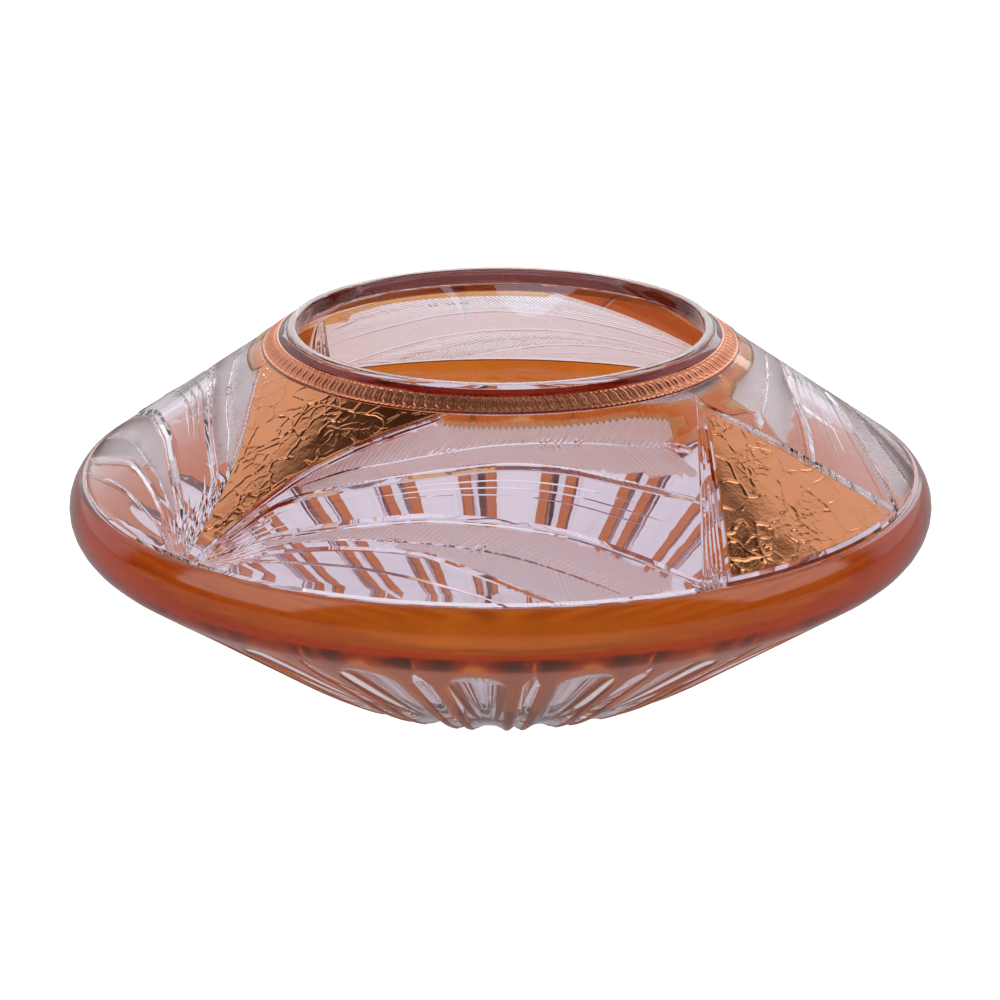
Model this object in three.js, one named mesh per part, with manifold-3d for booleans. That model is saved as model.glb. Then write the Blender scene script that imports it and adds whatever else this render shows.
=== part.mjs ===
// A low, wide-shouldered rose bowl of cased and cut crystal, in millimetres, +Z up.
// The origin is the centre of the foot, on the surface that the bowl stands on. Azimuth 0 looks
// out along -Y and grows towards +X. The clear body carries thin skins: an amber casing where the
// cutter left it, and fired gilding on part of that casing.
import * as THREE from 'three';
import { mergeVertices } from 'three/addons/utils/BufferGeometryUtils.js';
import Module from 'manifold-3d';

const wasm = await Module();
wasm.setup();

// ---- driving dimensions ----
const HEIGHT = 130;
const WIDEST_RADIUS = 150;
const FOOT_RADIUS = 50;
const FOOT_HEIGHT = 1.5;          // ground foot, standing below the cut belly
const MOUTH_RADIUS = 70.5;
const LIP_WIDTH = 3.5;            // flat polished top of the rim
const LIP_BEVEL = 1.1;            // drop from the polished top to the shoulder
const GIRDLE_HEIGHT = 0.518 * HEIGHT;
const GIRDLE_ROUND = 15;          // rounding radius at the widest place
const BELLY_TOE_RADIUS = FOOT_RADIUS + 10.45; // where the straight belly would meet the ground
const BELLY_BLEND_RADIUS = 1.8 * FOOT_RADIUS; // where the foot's curve becomes the straight belly
const WALL = 6;
const FLOOR = 10;

const CASING = 0.8;               // amber overlay
const GILT = 0.3;                 // fired gilding, drawn thick enough to be a solid
const THIN_CASING = 0.4;          // overlay that is left under gilding
const GAP = 0.3;                  // clearance between skins that touch on the real bowl
const PARTING = 0.1;              // clearance where the clear wall is divided into simpler solids
const FOOT_PART_RADIUS = 60;      // the foot's solid reaches out to here

const FLUTE_COUNT = 22;           // broad flutes round the belly, with a narrow mitre between each two
const BROAD_FLUTE_ANGLE = THREE.MathUtils.degToRad(8.7);
const NARROW_FLUTE_ANGLE = THREE.MathUtils.degToRad(2.5);
const FLUTE_PHASE = THREE.MathUtils.degToRad(-3.6);
const BROAD_FLUTE_DEPTH = 2.4;
const BROAD_FLUTE_TOP = WIDEST_RADIUS - 13; // radius on the belly where a broad flute's arch ends
const MITRE_STEEPNESS = 0.75;     // depth of a narrow flute over half its width
const FOOT_DEPTH_SHARE = 0.6;     // depth of a broad flute at the foot over its depth at the top
const NARROW_FLUTE_TOP = WIDEST_RADIUS - 11;
const BROAD_ARCH = 15;            // length of the round end
const NARROW_ARCH = 12;

const LAND_START = 0.12;          // share of the foot's curve that the amber lands leave clear

// Distances down the shoulder, measured along its slope from the edge of the rim.
const RIM_CASING_START = 1;
const FRIEZE_START = 3.4;
const FRIEZE_END = 10.2;
const FAN_TOP = 10.8;
const WEDGE_TOP = 20;
const FIELD_TOP = 11.4;
const PANEL_MARGIN = 0.8;         // from a panel's lower end to the start of the girdle's rounding
const CLEAR_LINE = 2.6;           // from there to the girdle's casing, past the clear line

const FAN_AZIMUTH = -45;          // degrees, axis of the first fan-shaped panel
const WEDGE_AZIMUTH = 49;         // degrees, axis of the first wedge-shaped panel
const FAN_HALF_ANGLE = 32.5;      // degrees at the top of a fan panel
const WEDGE_HALF_ANGLE = 18.2;    // degrees at the base of a wedge panel

const SEGMENTS = 3 * FLUTE_COUNT; // facets round the bowl
const BROAD_FLUTE_SIDES = 12;     // facets round a flute's cutter
const ARC_STEPS = 4;              // facets along each curve of the meridian
const GIRDLE_STEPS = Math.ceil(Math.sqrt(2.2 * GIRDLE_ROUND)); // facets round the girdle

// ---- finishes ----
const crystal = () => new THREE.MeshStandardMaterial({ color: 0xd8ccda, roughness: 0.04, metalness: 0 });
const amber = () => new THREE.MeshStandardMaterial({ color: 0xb4611c, roughness: 0.08, metalness: 0 });
const gold = () => new THREE.MeshStandardMaterial({ color: 0xcf8b52, roughness: 0.28, metalness: 1 });

// ---- the meridian: outer outline from foot to rim, as (radius, height) ----
const rimEdge = new THREE.Vector2(MOUTH_RADIUS + LIP_WIDTH, HEIGHT - LIP_BEVEL);
const girdleCentre = new THREE.Vector2(WIDEST_RADIUS - GIRDLE_ROUND, GIRDLE_HEIGHT);

// Steepness of the straight line from a point that touches the girdle's circle on its outer side.
function tangentSlope(point) {
  const away = girdleCentre.clone().sub(point);
  return Math.atan2(Math.abs(away.y), away.x) - Math.asin(GIRDLE_ROUND / away.length());
}

const SHOULDER_SLOPE = tangentSlope(rimEdge);
const BELLY_SLOPE = tangentSlope(new THREE.Vector2(BELLY_TOE_RADIUS, 0));
const shoulderNormal = new THREE.Vector2(Math.sin(SHOULDER_SLOPE), Math.cos(SHOULDER_SLOPE));
const bellyNormal = new THREE.Vector2(Math.sin(BELLY_SLOPE), -Math.cos(BELLY_SLOPE));
const shoulderFoot = girdleCentre.clone().addScaledVector(shoulderNormal, GIRDLE_ROUND);
const bellyTop = girdleCentre.clone().addScaledVector(bellyNormal, GIRDLE_ROUND);
const PANEL_END = rimEdge.distanceTo(shoulderFoot) - PANEL_MARGIN;
const GIRDLE_START = rimEdge.distanceTo(shoulderFoot) + CLEAR_LINE;

// Height of the straight belly, moved inwards by an offset, at a given radius.
function bellyHeight(radius, offset = 0) {
  const reach = bellyNormal.dot(bellyTop) - offset;
  return (reach - bellyNormal.x * radius) / bellyNormal.y;
}

// Radius at which the straight belly, moved inwards by an offset, has a given height.
function bellyRadius(height, offset = 0) {
  const reach = bellyNormal.dot(bellyTop) - offset;
  return (reach - bellyNormal.y * height) / bellyNormal.x;
}

const skin = GAP + CASING;
const footCurve = new THREE.QuadraticBezierCurve(
  new THREE.Vector2(FOOT_RADIUS + 1, FOOT_HEIGHT - skin),
  new THREE.Vector2(bellyRadius(FOOT_HEIGHT - skin), FOOT_HEIGHT - skin),
  new THREE.Vector2(BELLY_BLEND_RADIUS, bellyHeight(BELLY_BLEND_RADIUS)),
);
const bellyLine = new THREE.LineCurve(footCurve.v2, bellyTop);
const girdleArc = new THREE.EllipseCurve(
  girdleCentre.x, girdleCentre.y, GIRDLE_ROUND, GIRDLE_ROUND,
  Math.atan2(bellyNormal.y, bellyNormal.x), Math.atan2(shoulderNormal.y, shoulderNormal.x),
);

// Points along a piece of the meridian, moved inwards by an offset.
function offsetPoints(curve, divisions, offset, from = 0, to = 1) {
  const points = [];
  for (let i = 0; i <= divisions; i += 1) {
    const t = from + (to - from) * i / divisions;
    const tangent = curve.getTangent(t);
    points.push(curve.getPoint(t).add(new THREE.Vector2(-tangent.y, tangent.x).multiplyScalar(offset)));
  }
  return points;
}

// A point on the shoulder cone, a distance down its slope from the rim's edge.
function shoulderPoint(distance, offset) {
  return new THREE.Vector2(
    rimEdge.x + distance * shoulderNormal.y - offset * shoulderNormal.x,
    rimEdge.y - distance * shoulderNormal.x - offset * shoulderNormal.y,
  );
}

// ---- solids ----
// Turns the faces of a closed geometry outwards.
function facingOut(geometry) {
  const position = geometry.attributes.position;
  const index = geometry.index.array;
  const [a, b, c] = [new THREE.Vector3(), new THREE.Vector3(), new THREE.Vector3()];
  let volume = 0;
  for (let i = 0; i < index.length; i += 3) {
    a.fromBufferAttribute(position, index[i]);
    b.fromBufferAttribute(position, index[i + 1]);
    c.fromBufferAttribute(position, index[i + 2]);
    volume += a.dot(b.cross(c));
  }
  if (volume < 0) {
    for (let i = 0; i < index.length; i += 3) {
      [index[i + 1], index[i + 2]] = [index[i + 2], index[i + 1]];
    }
  }
  return geometry;
}

// Keeps only the shared points of a geometry, so that it is one closed surface.
function weld(geometry) {
  geometry.deleteAttribute('normal');
  geometry.deleteAttribute('uv');
  const welded = mergeVertices(geometry, 1e-4);
  const kept = [];
  const index = welded.index.array;
  for (let i = 0; i < index.length; i += 3) {
    const [p, q, r] = [index[i], index[i + 1], index[i + 2]];
    if (p !== q && q !== r && r !== p) kept.push(p, q, r);
  }
  welded.setIndex(kept);
  return facingOut(welded);
}

// A solid of revolution about Z from a closed outline of (radius, height) points.
function turned(outline, segments = SEGMENTS) {
  return weld(new THREE.LatheGeometry(outline, segments).rotateX(Math.PI / 2));
}

function toManifold(geometry) {
  return new wasm.Manifold(new wasm.Mesh({
    numProp: 3,
    vertProperties: new Float32Array(geometry.attributes.position.array),
    triVerts: new Uint32Array(geometry.index.array),
  }));
}

function fromManifold(solid) {
  const mesh = solid.getMesh();
  const geometry = new THREE.BufferGeometry();
  geometry.setAttribute('position', new THREE.BufferAttribute(mesh.vertProperties, 3));
  geometry.setIndex(new THREE.BufferAttribute(mesh.triVerts, 1));
  return geometry;
}

// ---- flutes: tapering wheel cuts that run down the belly to the foot ----
// How far the belly's surface lies inside its straight line, near the foot.
function footInset(radius) {
  if (radius >= BELLY_BLEND_RADIUS) return 0;
  const steps = 40;
  let height = footCurve.v0.y;
  for (let i = 1; i <= steps; i += 1) {
    const p = footCurve.getPoint(i / steps);
    if (p.x > radius) break;
    height = p.y;
  }
  return (height - bellyHeight(radius)) * Math.cos(BELLY_SLOPE);
}

// A round wheel leaves a hollow: its centre runs outside the belly, closer to it at the foot.
const roundWheel = {
  clearance(halfWidth, depth) {
    return (halfWidth ** 2 - depth ** 2) / (2 * depth);
  },
  radius(clearance, halfWidth) {
    return Math.hypot(clearance, halfWidth) / Math.cos(Math.PI / BROAD_FLUTE_SIDES);
  },
  thickness: 1,
  sides: BROAD_FLUTE_SIDES,
};

// A mitre wheel leaves a V: its centre runs on the belly, and thickness is depth over half width.
const mitreWheel = {
  clearance: () => 0,
  radius: (clearance, halfWidth) => clearance / MITRE_STEEPNESS + halfWidth,
  thickness: MITRE_STEEPNESS,
  sides: 4,
};

// One cutter about its own axis: it keeps the flute's angular width all the way down.
function fluteCutter(azimuth, wheel, angle, topRadius, arch, depth) {
  const spread = Math.tan(angle / 2);
  const fullRadius = topRadius - arch;
  const footRadius = FOOT_RADIUS - 4;
  const topClearance = wheel.clearance(fullRadius * spread, depth);
  const footClearance = wheel.clearance(footRadius * spread, depth * FOOT_DEPTH_SHARE);
  const start = new THREE.Vector2(footRadius, bellyHeight(footRadius));
  const end = new THREE.Vector2(fullRadius, bellyHeight(fullRadius));
  start.addScaledVector(bellyNormal, footClearance);
  end.addScaledVector(bellyNormal, topClearance);
  const length = start.distanceTo(end);
  const stations = 4;
  const profile = [new THREE.Vector2(0, 0)];
  for (let i = 0; i <= stations; i += 1) {
    const t = (i / stations) ** 2;
    const radius = THREE.MathUtils.lerp(footRadius, fullRadius, t);
    const clearance = THREE.MathUtils.lerp(footClearance, topClearance, t) + footInset(radius);
    profile.push(new THREE.Vector2(wheel.radius(clearance, radius * spread), length * t));
  }
  const widest = profile[profile.length - 1].x;
  const capLength = arch / Math.cos(BELLY_SLOPE) / Math.sqrt(1 - (topClearance / widest) ** 2);
  const capSteps = 2;
  for (let i = 1; i <= capSteps; i += 1) {
    const turn = i / capSteps * Math.PI / 2;
    const radius = i === capSteps ? 0 : widest * Math.cos(turn);
    profile.push(new THREE.Vector2(radius, length + capLength * Math.sin(turn)));
  }
  const along = end.clone().sub(start).normalize();
  const outDirection = new THREE.Vector3(Math.sin(azimuth), -Math.cos(azimuth), 0);
  const yAxis = outDirection.clone().multiplyScalar(along.x).add(new THREE.Vector3(0, 0, along.y));
  const xAxis = new THREE.Vector3(Math.cos(azimuth), Math.sin(azimuth), 0);
  const zAxis = new THREE.Vector3().crossVectors(xAxis, yAxis).multiplyScalar(wheel.thickness);
  const origin = outDirection.clone().multiplyScalar(start.x).add(new THREE.Vector3(0, 0, start.y));
  const place = new THREE.Matrix4().makeBasis(xAxis, yAxis, zAxis).setPosition(origin);
  return toManifold(weld(new THREE.LatheGeometry(profile, wheel.sides).applyMatrix4(place)));
}

// Every flute's cutter, the broad ones with the narrow ones between them.
function fluteCutters() {
  const pitch = 2 * Math.PI / FLUTE_COUNT;
  const cutters = [];
  for (let i = 0; i < FLUTE_COUNT; i += 1) {
    const azimuth = FLUTE_PHASE + i * pitch;
    cutters.push(fluteCutter(
      azimuth, roundWheel, BROAD_FLUTE_ANGLE, BROAD_FLUTE_TOP, BROAD_ARCH, BROAD_FLUTE_DEPTH,
    ));
    cutters.push(fluteCutter(
      azimuth + pitch / 2, mitreWheel, NARROW_FLUTE_ANGLE, NARROW_FLUTE_TOP, NARROW_ARCH, 0,
    ));
  }
  return cutters;
}

// ---- the clear body: one blown wall, open at the mouth, divided into shoulder, belly and foot ----
function crystalBodyOutline() {
  const innerFloorEdge = new THREE.Vector2(FOOT_RADIUS - WALL, FLOOR);
  const innerBlend = BELLY_BLEND_RADIUS;
  const innerFoot = new THREE.QuadraticBezierCurve(
    innerFloorEdge,
    new THREE.Vector2(bellyRadius(FLOOR, WALL), FLOOR),
    new THREE.Vector2(innerBlend, bellyHeight(innerBlend, WALL)),
  );
  const innerNeckHeight = (shoulderNormal.dot(rimEdge) - WALL - shoulderNormal.x * MOUTH_RADIUS)
    / shoulderNormal.y;
  return [
    new THREE.Vector2(0, 0),
    new THREE.Vector2(FOOT_RADIUS, 0),
    ...offsetPoints(footCurve, ARC_STEPS, skin),
    ...offsetPoints(girdleArc, GIRDLE_STEPS, skin),
    shoulderPoint(RIM_CASING_START - GAP, skin),
    shoulderPoint(RIM_CASING_START - GAP, 0),
    rimEdge,
    new THREE.Vector2(rimEdge.x - LIP_BEVEL / 2, HEIGHT),
    new THREE.Vector2(MOUTH_RADIUS, HEIGHT),
    new THREE.Vector2(MOUTH_RADIUS, innerNeckHeight),
    ...offsetPoints(girdleArc, GIRDLE_STEPS, WALL).reverse(),
    ...innerFoot.getPoints(ARC_STEPS).reverse(),
    new THREE.Vector2(0, FLOOR),
  ];
}

// An upright cylinder from below the foot to the girdle.
function core(radius) {
  const outline = [
    new THREE.Vector2(0, -1),
    new THREE.Vector2(radius, -1),
    new THREE.Vector2(radius, girdleCentre.y),
    new THREE.Vector2(0, girdleCentre.y),
  ];
  return toManifold(turned(outline));
}

function crystalParts(cutters) {
  let body = toManifold(turned(crystalBodyOutline()));
  for (const cutter of cutters) body = body.subtract(cutter);
  const lower = body.trimByPlane([0, 0, -1], PARTING / 2 - girdleCentre.y);
  return {
    shoulder: fromManifold(body.trimByPlane([0, 0, 1], girdleCentre.y + PARTING / 2)),
    belly: fromManifold(lower.subtract(core(FOOT_PART_RADIUS + PARTING))),
    foot: fromManifold(lower.intersect(core(FOOT_PART_RADIUS))),
  };
}

// ---- amber casing of the girdle, with the lands that run down between the flutes ----
function girdleCasing(cutters) {
  const start = shoulderPoint(GIRDLE_START, 0);
  const startAngle = Math.atan2(start.y - girdleCentre.y, start.x - girdleCentre.x);
  const low = girdleArc.aStartAngle;
  const reach = (startAngle - low) / (girdleArc.aEndAngle - low);
  const outer = [
    ...offsetPoints(footCurve, ARC_STEPS, 0, LAND_START),
    ...offsetPoints(girdleArc, GIRDLE_STEPS, 0, 0, reach),
  ];
  const inner = [
    ...offsetPoints(footCurve, ARC_STEPS, CASING, LAND_START),
    ...offsetPoints(girdleArc, GIRDLE_STEPS, CASING, 0, reach),
  ];
  let casing = toManifold(turned([...outer, ...inner.reverse(), outer[0].clone()]));
  for (const cutter of cutters) casing = casing.subtract(cutter);
  return fromManifold(casing);
}

// ---- rings at the rim ----
function shoulderRing(from, to, inside, outside) {
  const outline = [
    shoulderPoint(from, outside),
    shoulderPoint(from, inside),
    shoulderPoint(to, inside),
    shoulderPoint(to, outside),
    shoulderPoint(from, outside),
  ];
  return turned(outline);
}

// ---- patches on the shoulder: fans, wedges and fields ----
// A closed skin over a grid of places; place(u, v) gives { azimuth, distance } for u and v in 0..1.
function shoulderPatch(place, columns, rows, inside, outside) {
  const positions = [];
  const index = [];
  const at = (side, i, j) => (side * (rows + 1) + j) * (columns + 1) + i;
  for (const offset of [inside, outside]) {
    for (let j = 0; j <= rows; j += 1) {
      for (let i = 0; i <= columns; i += 1) {
        const { azimuth, distance } = place(i / columns, j / rows);
        const turn = THREE.MathUtils.degToRad(azimuth);
        const p = shoulderPoint(distance, offset);
        positions.push(p.x * Math.sin(turn), -p.x * Math.cos(turn), p.y);
      }
    }
  }
  const quad = (p, q, r, s) => index.push(p, q, r, p, r, s);
  for (let j = 0; j < rows; j += 1) {
    for (let i = 0; i < columns; i += 1) {
      quad(at(0, i, j), at(0, i + 1, j), at(0, i + 1, j + 1), at(0, i, j + 1));
      quad(at(1, i, j), at(1, i, j + 1), at(1, i + 1, j + 1), at(1, i + 1, j));
    }
  }
  for (let j = 0; j < rows; j += 1) {
    quad(at(0, 0, j), at(0, 0, j + 1), at(1, 0, j + 1), at(1, 0, j));
    quad(at(0, columns, j), at(1, columns, j), at(1, columns, j + 1), at(0, columns, j + 1));
  }
  for (let i = 0; i < columns; i += 1) {
    quad(at(0, i, 0), at(1, i, 0), at(1, i + 1, 0), at(0, i + 1, 0));
    quad(at(0, i, rows), at(0, i + 1, rows), at(1, i + 1, rows), at(1, i, rows));
  }
  const geometry = new THREE.BufferGeometry();
  geometry.setAttribute('position', new THREE.Float32BufferAttribute(positions, 3));
  geometry.setIndex(index);
  return facingOut(geometry);
}

// Half the angle of a fan panel, from its root at the girdle (0) to its top under the frieze (1).
const fanHalfAngle = (rise) => FAN_HALF_ANGLE * (0.02 + 0.28 * rise + 0.70 * rise ** 4);

// Half the angle of a wedge panel, from its tip (0) to its base at the girdle (1).
const wedgeHalfAngle = (fall) => WEDGE_HALF_ANGLE * (0.02 + 0.98 * fall);

// The fan's outline turns fastest near its top, so its rows lie closer together there.
const fanPlace = (axis) => (u, v) => ({
  azimuth: axis + fanHalfAngle(1 - v ** 1.6) * (2 * u - 1),
  distance: THREE.MathUtils.lerp(FAN_TOP, PANEL_END, v ** 1.6),
});

const wedgePlace = (axis) => (u, v) => ({
  azimuth: axis + wedgeHalfAngle(v) * (2 * u - 1),
  distance: THREE.MathUtils.lerp(WEDGE_TOP, PANEL_END, v),
});

// A field is the amber strip above the fern cutting, from a fan panel's edge to a wedge's tip.
// Across is 0 at the fan's axis and 1 at the wedge's.
const FIELD_FROM = (FAN_HALF_ANGLE + 1) / (180 - WEDGE_AZIMUTH + FAN_AZIMUTH);
const FIELD_TO = 0.93;
function fieldPlace(fanAxis, wedgeAxis) {
  return (u, v) => {
    const across = THREE.MathUtils.lerp(FIELD_FROM, FIELD_TO, u);
    const dip = THREE.MathUtils.smoothstep(across, 0.72, 0.94);
    const top = FIELD_TOP + 3.6 * dip;
    const depth = 1 + 1.9 * Math.sin(Math.PI * Math.min(1, (u + 0.02) / 0.55)) ** 2 + 6.5 * dip;
    return { azimuth: THREE.MathUtils.lerp(fanAxis, wedgeAxis, across), distance: top + depth * v };
  };
}

// ---- assembly ----
const bowl = new THREE.Group();

function addPiece(name, geometry, material) {
  const mesh = new THREE.Mesh(geometry, material);
  mesh.name = name;
  bowl.add(mesh);
}

const cutters = fluteCutters();
const { shoulder, belly, foot } = crystalParts(cutters);
addPiece('crystal_shoulder', shoulder, crystal());
addPiece('crystal_belly', belly, crystal());
addPiece('crystal_foot', foot, crystal());
addPiece('amber_girdle_casing', girdleCasing(cutters), amber());

// Offsets are measured inwards from the bowl's outer surface.
const casingInside = CASING;
const casingOutside = 0;
const bedInside = skin - GAP;
const bedOutside = bedInside - THIN_CASING;
const giltInside = bedOutside - GAP;
const giltOutside = giltInside - GILT;
addPiece('amber_rim_casing', shoulderRing(RIM_CASING_START, FRIEZE_END, bedInside, bedOutside), amber());
addPiece('gilt_frieze_band', shoulderRing(FRIEZE_START, FRIEZE_END, giltInside, giltOutside), gold());

const fanAxes = [FAN_AZIMUTH, FAN_AZIMUTH + 180];
const wedgeAxes = [WEDGE_AZIMUTH, WEDGE_AZIMUTH + 180];
for (const [i, axis] of fanAxes.entries()) {
  addPiece(`amber_fan_bed_${i + 1}`, shoulderPatch(fanPlace(axis), 13, 9, bedInside, bedOutside), amber());
  addPiece(`gilt_fan_panel_${i + 1}`, shoulderPatch(fanPlace(axis), 13, 9, giltInside, giltOutside), gold());
}
for (const [i, axis] of wedgeAxes.entries()) {
  addPiece(`amber_wedge_bed_${i + 1}`, shoulderPatch(wedgePlace(axis), 8, 4, bedInside, bedOutside), amber());
  addPiece(`gilt_wedge_panel_${i + 1}`, shoulderPatch(wedgePlace(axis), 8, 4, giltInside, giltOutside), gold());
}
const fields = [
  [fanAxes[0], wedgeAxes[0]],
  [fanAxes[1], wedgeAxes[0]],
  [fanAxes[1], wedgeAxes[1]],
  [fanAxes[0] + 360, wedgeAxes[1]],
];
for (const [i, [fanAxis, wedgeAxis]] of fields.entries()) {
  const place = fieldPlace(fanAxis, wedgeAxis);
  addPiece(`amber_field_${i + 1}`, shoulderPatch(place, 18, 1, casingInside, casingOutside), amber());
}

export default bowl;
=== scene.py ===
"""A low, wide-shouldered rose bowl of cased crystal, cut, etched and gilded.

The clear body is one wall of glass. Its shoulder is cut with mitres and ferns, its belly with
flutes. Amber casing stands on it where the cutter left it, and gold is fired on part of that
casing. Lengths in this file are millimetres until a mesh is made, and angles are degrees.
"""
from __future__ import annotations

import logging
import math
from dataclasses import dataclass, field
from enum import Enum
from typing import Callable, Iterable, Iterator, Mapping, Sequence

import bpy
import numpy as np
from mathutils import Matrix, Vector, geometry, noise

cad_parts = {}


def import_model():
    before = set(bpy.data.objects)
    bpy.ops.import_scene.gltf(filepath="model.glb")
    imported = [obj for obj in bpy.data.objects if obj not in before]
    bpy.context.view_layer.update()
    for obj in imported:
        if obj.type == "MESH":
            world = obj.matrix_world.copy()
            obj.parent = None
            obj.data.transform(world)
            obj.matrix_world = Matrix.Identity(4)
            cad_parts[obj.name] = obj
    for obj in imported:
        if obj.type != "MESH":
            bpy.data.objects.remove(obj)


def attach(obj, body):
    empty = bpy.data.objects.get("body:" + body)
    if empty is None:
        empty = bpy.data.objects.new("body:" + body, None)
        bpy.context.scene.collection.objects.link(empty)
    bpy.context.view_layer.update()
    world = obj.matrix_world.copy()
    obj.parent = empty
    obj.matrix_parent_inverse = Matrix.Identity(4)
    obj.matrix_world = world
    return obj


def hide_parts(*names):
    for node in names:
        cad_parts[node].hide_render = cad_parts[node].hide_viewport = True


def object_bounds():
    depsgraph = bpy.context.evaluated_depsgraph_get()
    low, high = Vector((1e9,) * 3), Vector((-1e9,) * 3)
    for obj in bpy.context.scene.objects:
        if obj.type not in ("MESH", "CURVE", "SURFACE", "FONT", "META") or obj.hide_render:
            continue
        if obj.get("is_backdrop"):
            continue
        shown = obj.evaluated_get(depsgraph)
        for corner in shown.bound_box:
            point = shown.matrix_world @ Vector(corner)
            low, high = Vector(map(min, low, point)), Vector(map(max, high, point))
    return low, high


LOG = logging.getLogger("rose_bowl")
MM = 0.001
ROOT = "root"
FULL_TURN = 360.0
FAN_AXES = (-45.0, 135.0)  # azimuths of the fan-shaped panels
WEDGE_AXES = (49.0, 229.0)  # azimuths of the wedge-shaped panels
TINY = 1e-6
UNCUT = 1e-4  # depth up to which a place counts as uncut, and distance up to which it is on a border
Array = np.ndarray
Piece = bpy.types.Object
Node = bpy.types.Node
NodeTree = bpy.types.NodeTree
Socket = bpy.types.NodeSocket
Material = bpy.types.Material
Points = Sequence[tuple[float, float]]
Ring = list[tuple[int, float]]


class Slot(Enum):
    """Material slots of the record."""

    CRYSTAL = "crystal"
    AMBER = "amber_glass"
    GILDING = "gilding"


# ------------------------------------------------------------------ form of the bowl
@dataclass
class Meridian:
    """The bowl's outer outline, from the rim's edge down to the foot.

    Args:
        height: height of the bowl.
        widest: radius at the girdle.
    """

    height: float
    widest: float
    foot_radius: float = 50.0
    foot_step: float = 0.4
    mouth_radius: float = 70.5
    lip_width: float = 3.5
    lip_bevel: float = 1.1
    shoulder_slope: float = 35.3
    belly_slope: float = 33.5
    girdle_round: float = 15.0
    blend_radius: float = 90.0
    wall: float = 6.0
    floor: float = 10.0

    def __post_init__(self) -> None:
        """Works out the joints between the outline's lines and arcs."""
        upper, lower = math.radians(self.shoulder_slope), math.radians(self.belly_slope)
        self.shoulder_normal = np.array([math.sin(upper), math.cos(upper)])
        self.belly_normal = np.array([math.sin(lower), -math.cos(lower)])
        self.rim = np.array([self.mouth_radius + self.lip_width, self.height - self.lip_bevel])
        centre_radius = self.widest - self.girdle_round
        reach = self.shoulder_normal @ self.rim - self.girdle_round
        centre_height = (reach - self.shoulder_normal[0] * centre_radius) / self.shoulder_normal[1]
        self.centre = np.array([centre_radius, centre_height])
        self.shoulder_foot = self.centre + self.girdle_round * self.shoulder_normal
        self.belly_top = self.centre + self.girdle_round * self.belly_normal
        self.belly_reach = self.belly_normal @ self.belly_top
        self.blend = np.array([self.blend_radius, self.belly_height(self.blend_radius)])
        self.high_turn = math.atan2(self.shoulder_normal[1], self.shoulder_normal[0])
        self.low_turn = math.atan2(self.belly_normal[1], self.belly_normal[0])
        self.end_shoulder = float(np.linalg.norm(self.shoulder_foot - self.rim))
        self.end_girdle = self.end_shoulder + self.girdle_round * (self.high_turn - self.low_turn)
        self.end_belly = self.end_girdle + float(np.linalg.norm(self.belly_top - self.blend))
        self._bend_foot()

    def _bend_foot(self) -> None:
        """Samples the curve that joins the straight belly to the foot."""
        corner = np.array([self.belly_radius(self.foot_step), self.foot_step])
        last = np.array([self.foot_radius + 1.0, self.foot_step])
        u = np.linspace(0.0, 1.0, 200)[:, None]
        self._foot = (1 - u) ** 2 * self.blend + 2 * u * (1 - u) * corner + u**2 * last
        tangent = 2 * (1 - u) * (corner - self.blend) + 2 * u * (last - corner)
        tangent /= np.linalg.norm(tangent, axis=1)[:, None]
        self._foot_normal = np.stack([-tangent[:, 1], tangent[:, 0]], axis=1)
        self._foot_run = run_along(self._foot)
        self.end_foot = self.end_belly + float(self._foot_run[-1])

    def belly_height(self, radius: float, inset: float = 0.0) -> float:
        """Height of the straight belly at a radius, moved inwards by an inset."""
        reach = self.belly_reach - inset
        return (reach - self.belly_normal[0] * radius) / self.belly_normal[1]

    def belly_radius(self, height: float, inset: float = 0.0) -> float:
        """Radius of the straight belly at a height, moved inwards by an inset."""
        reach = self.belly_reach - inset
        return (reach - self.belly_normal[1] * height) / self.belly_normal[0]

    def at(self, run: Array, inset: Array | float = 0.0) -> tuple[Array, Array]:
        """Places on the outline.

        Args:
            run: distances along the outline from the rim's edge.
            inset: how far inside the outline each place lies.

        Returns:
            The (radius, height) places and the outward normals.
        """
        run = np.asarray(run, dtype=float)
        slope = math.radians(self.shoulder_slope)
        down = np.array([math.cos(slope), -math.sin(slope)])
        place = self.rim + run[:, None] * down
        normal = np.broadcast_to(self.shoulder_normal, place.shape).copy()
        on_girdle = (run > self.end_shoulder) & (run <= self.end_girdle)
        turn = self.high_turn - (run[on_girdle] - self.end_shoulder) / self.girdle_round
        normal[on_girdle] = np.stack([np.cos(turn), np.sin(turn)], axis=1)
        place[on_girdle] = self.centre + self.girdle_round * normal[on_girdle]
        on_belly = (run > self.end_girdle) & (run <= self.end_belly)
        lean = math.radians(self.belly_slope)
        inwards = np.array([-math.cos(lean), -math.sin(lean)])
        place[on_belly] = self.belly_top + (run[on_belly] - self.end_girdle)[:, None] * inwards
        normal[on_belly] = self.belly_normal
        on_foot = run > self.end_belly
        past = run[on_foot] - self.end_belly
        for axis in (0, 1):
            place[on_foot, axis] = np.interp(past, self._foot_run, self._foot[:, axis])
            normal[on_foot, axis] = np.interp(past, self._foot_run, self._foot_normal[:, axis])
        return place - normal * np.reshape(inset, (-1, 1)), normal

    def around(self, azimuth: Array, run: Array, inset: Array | float = 0.0) -> Array:
        """Points of the turned form at azimuths, distances along the outline and insets."""
        spot, _ = self.at(run, inset)
        return polar(azimuth, spot[:, 0], spot[:, 1])

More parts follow.
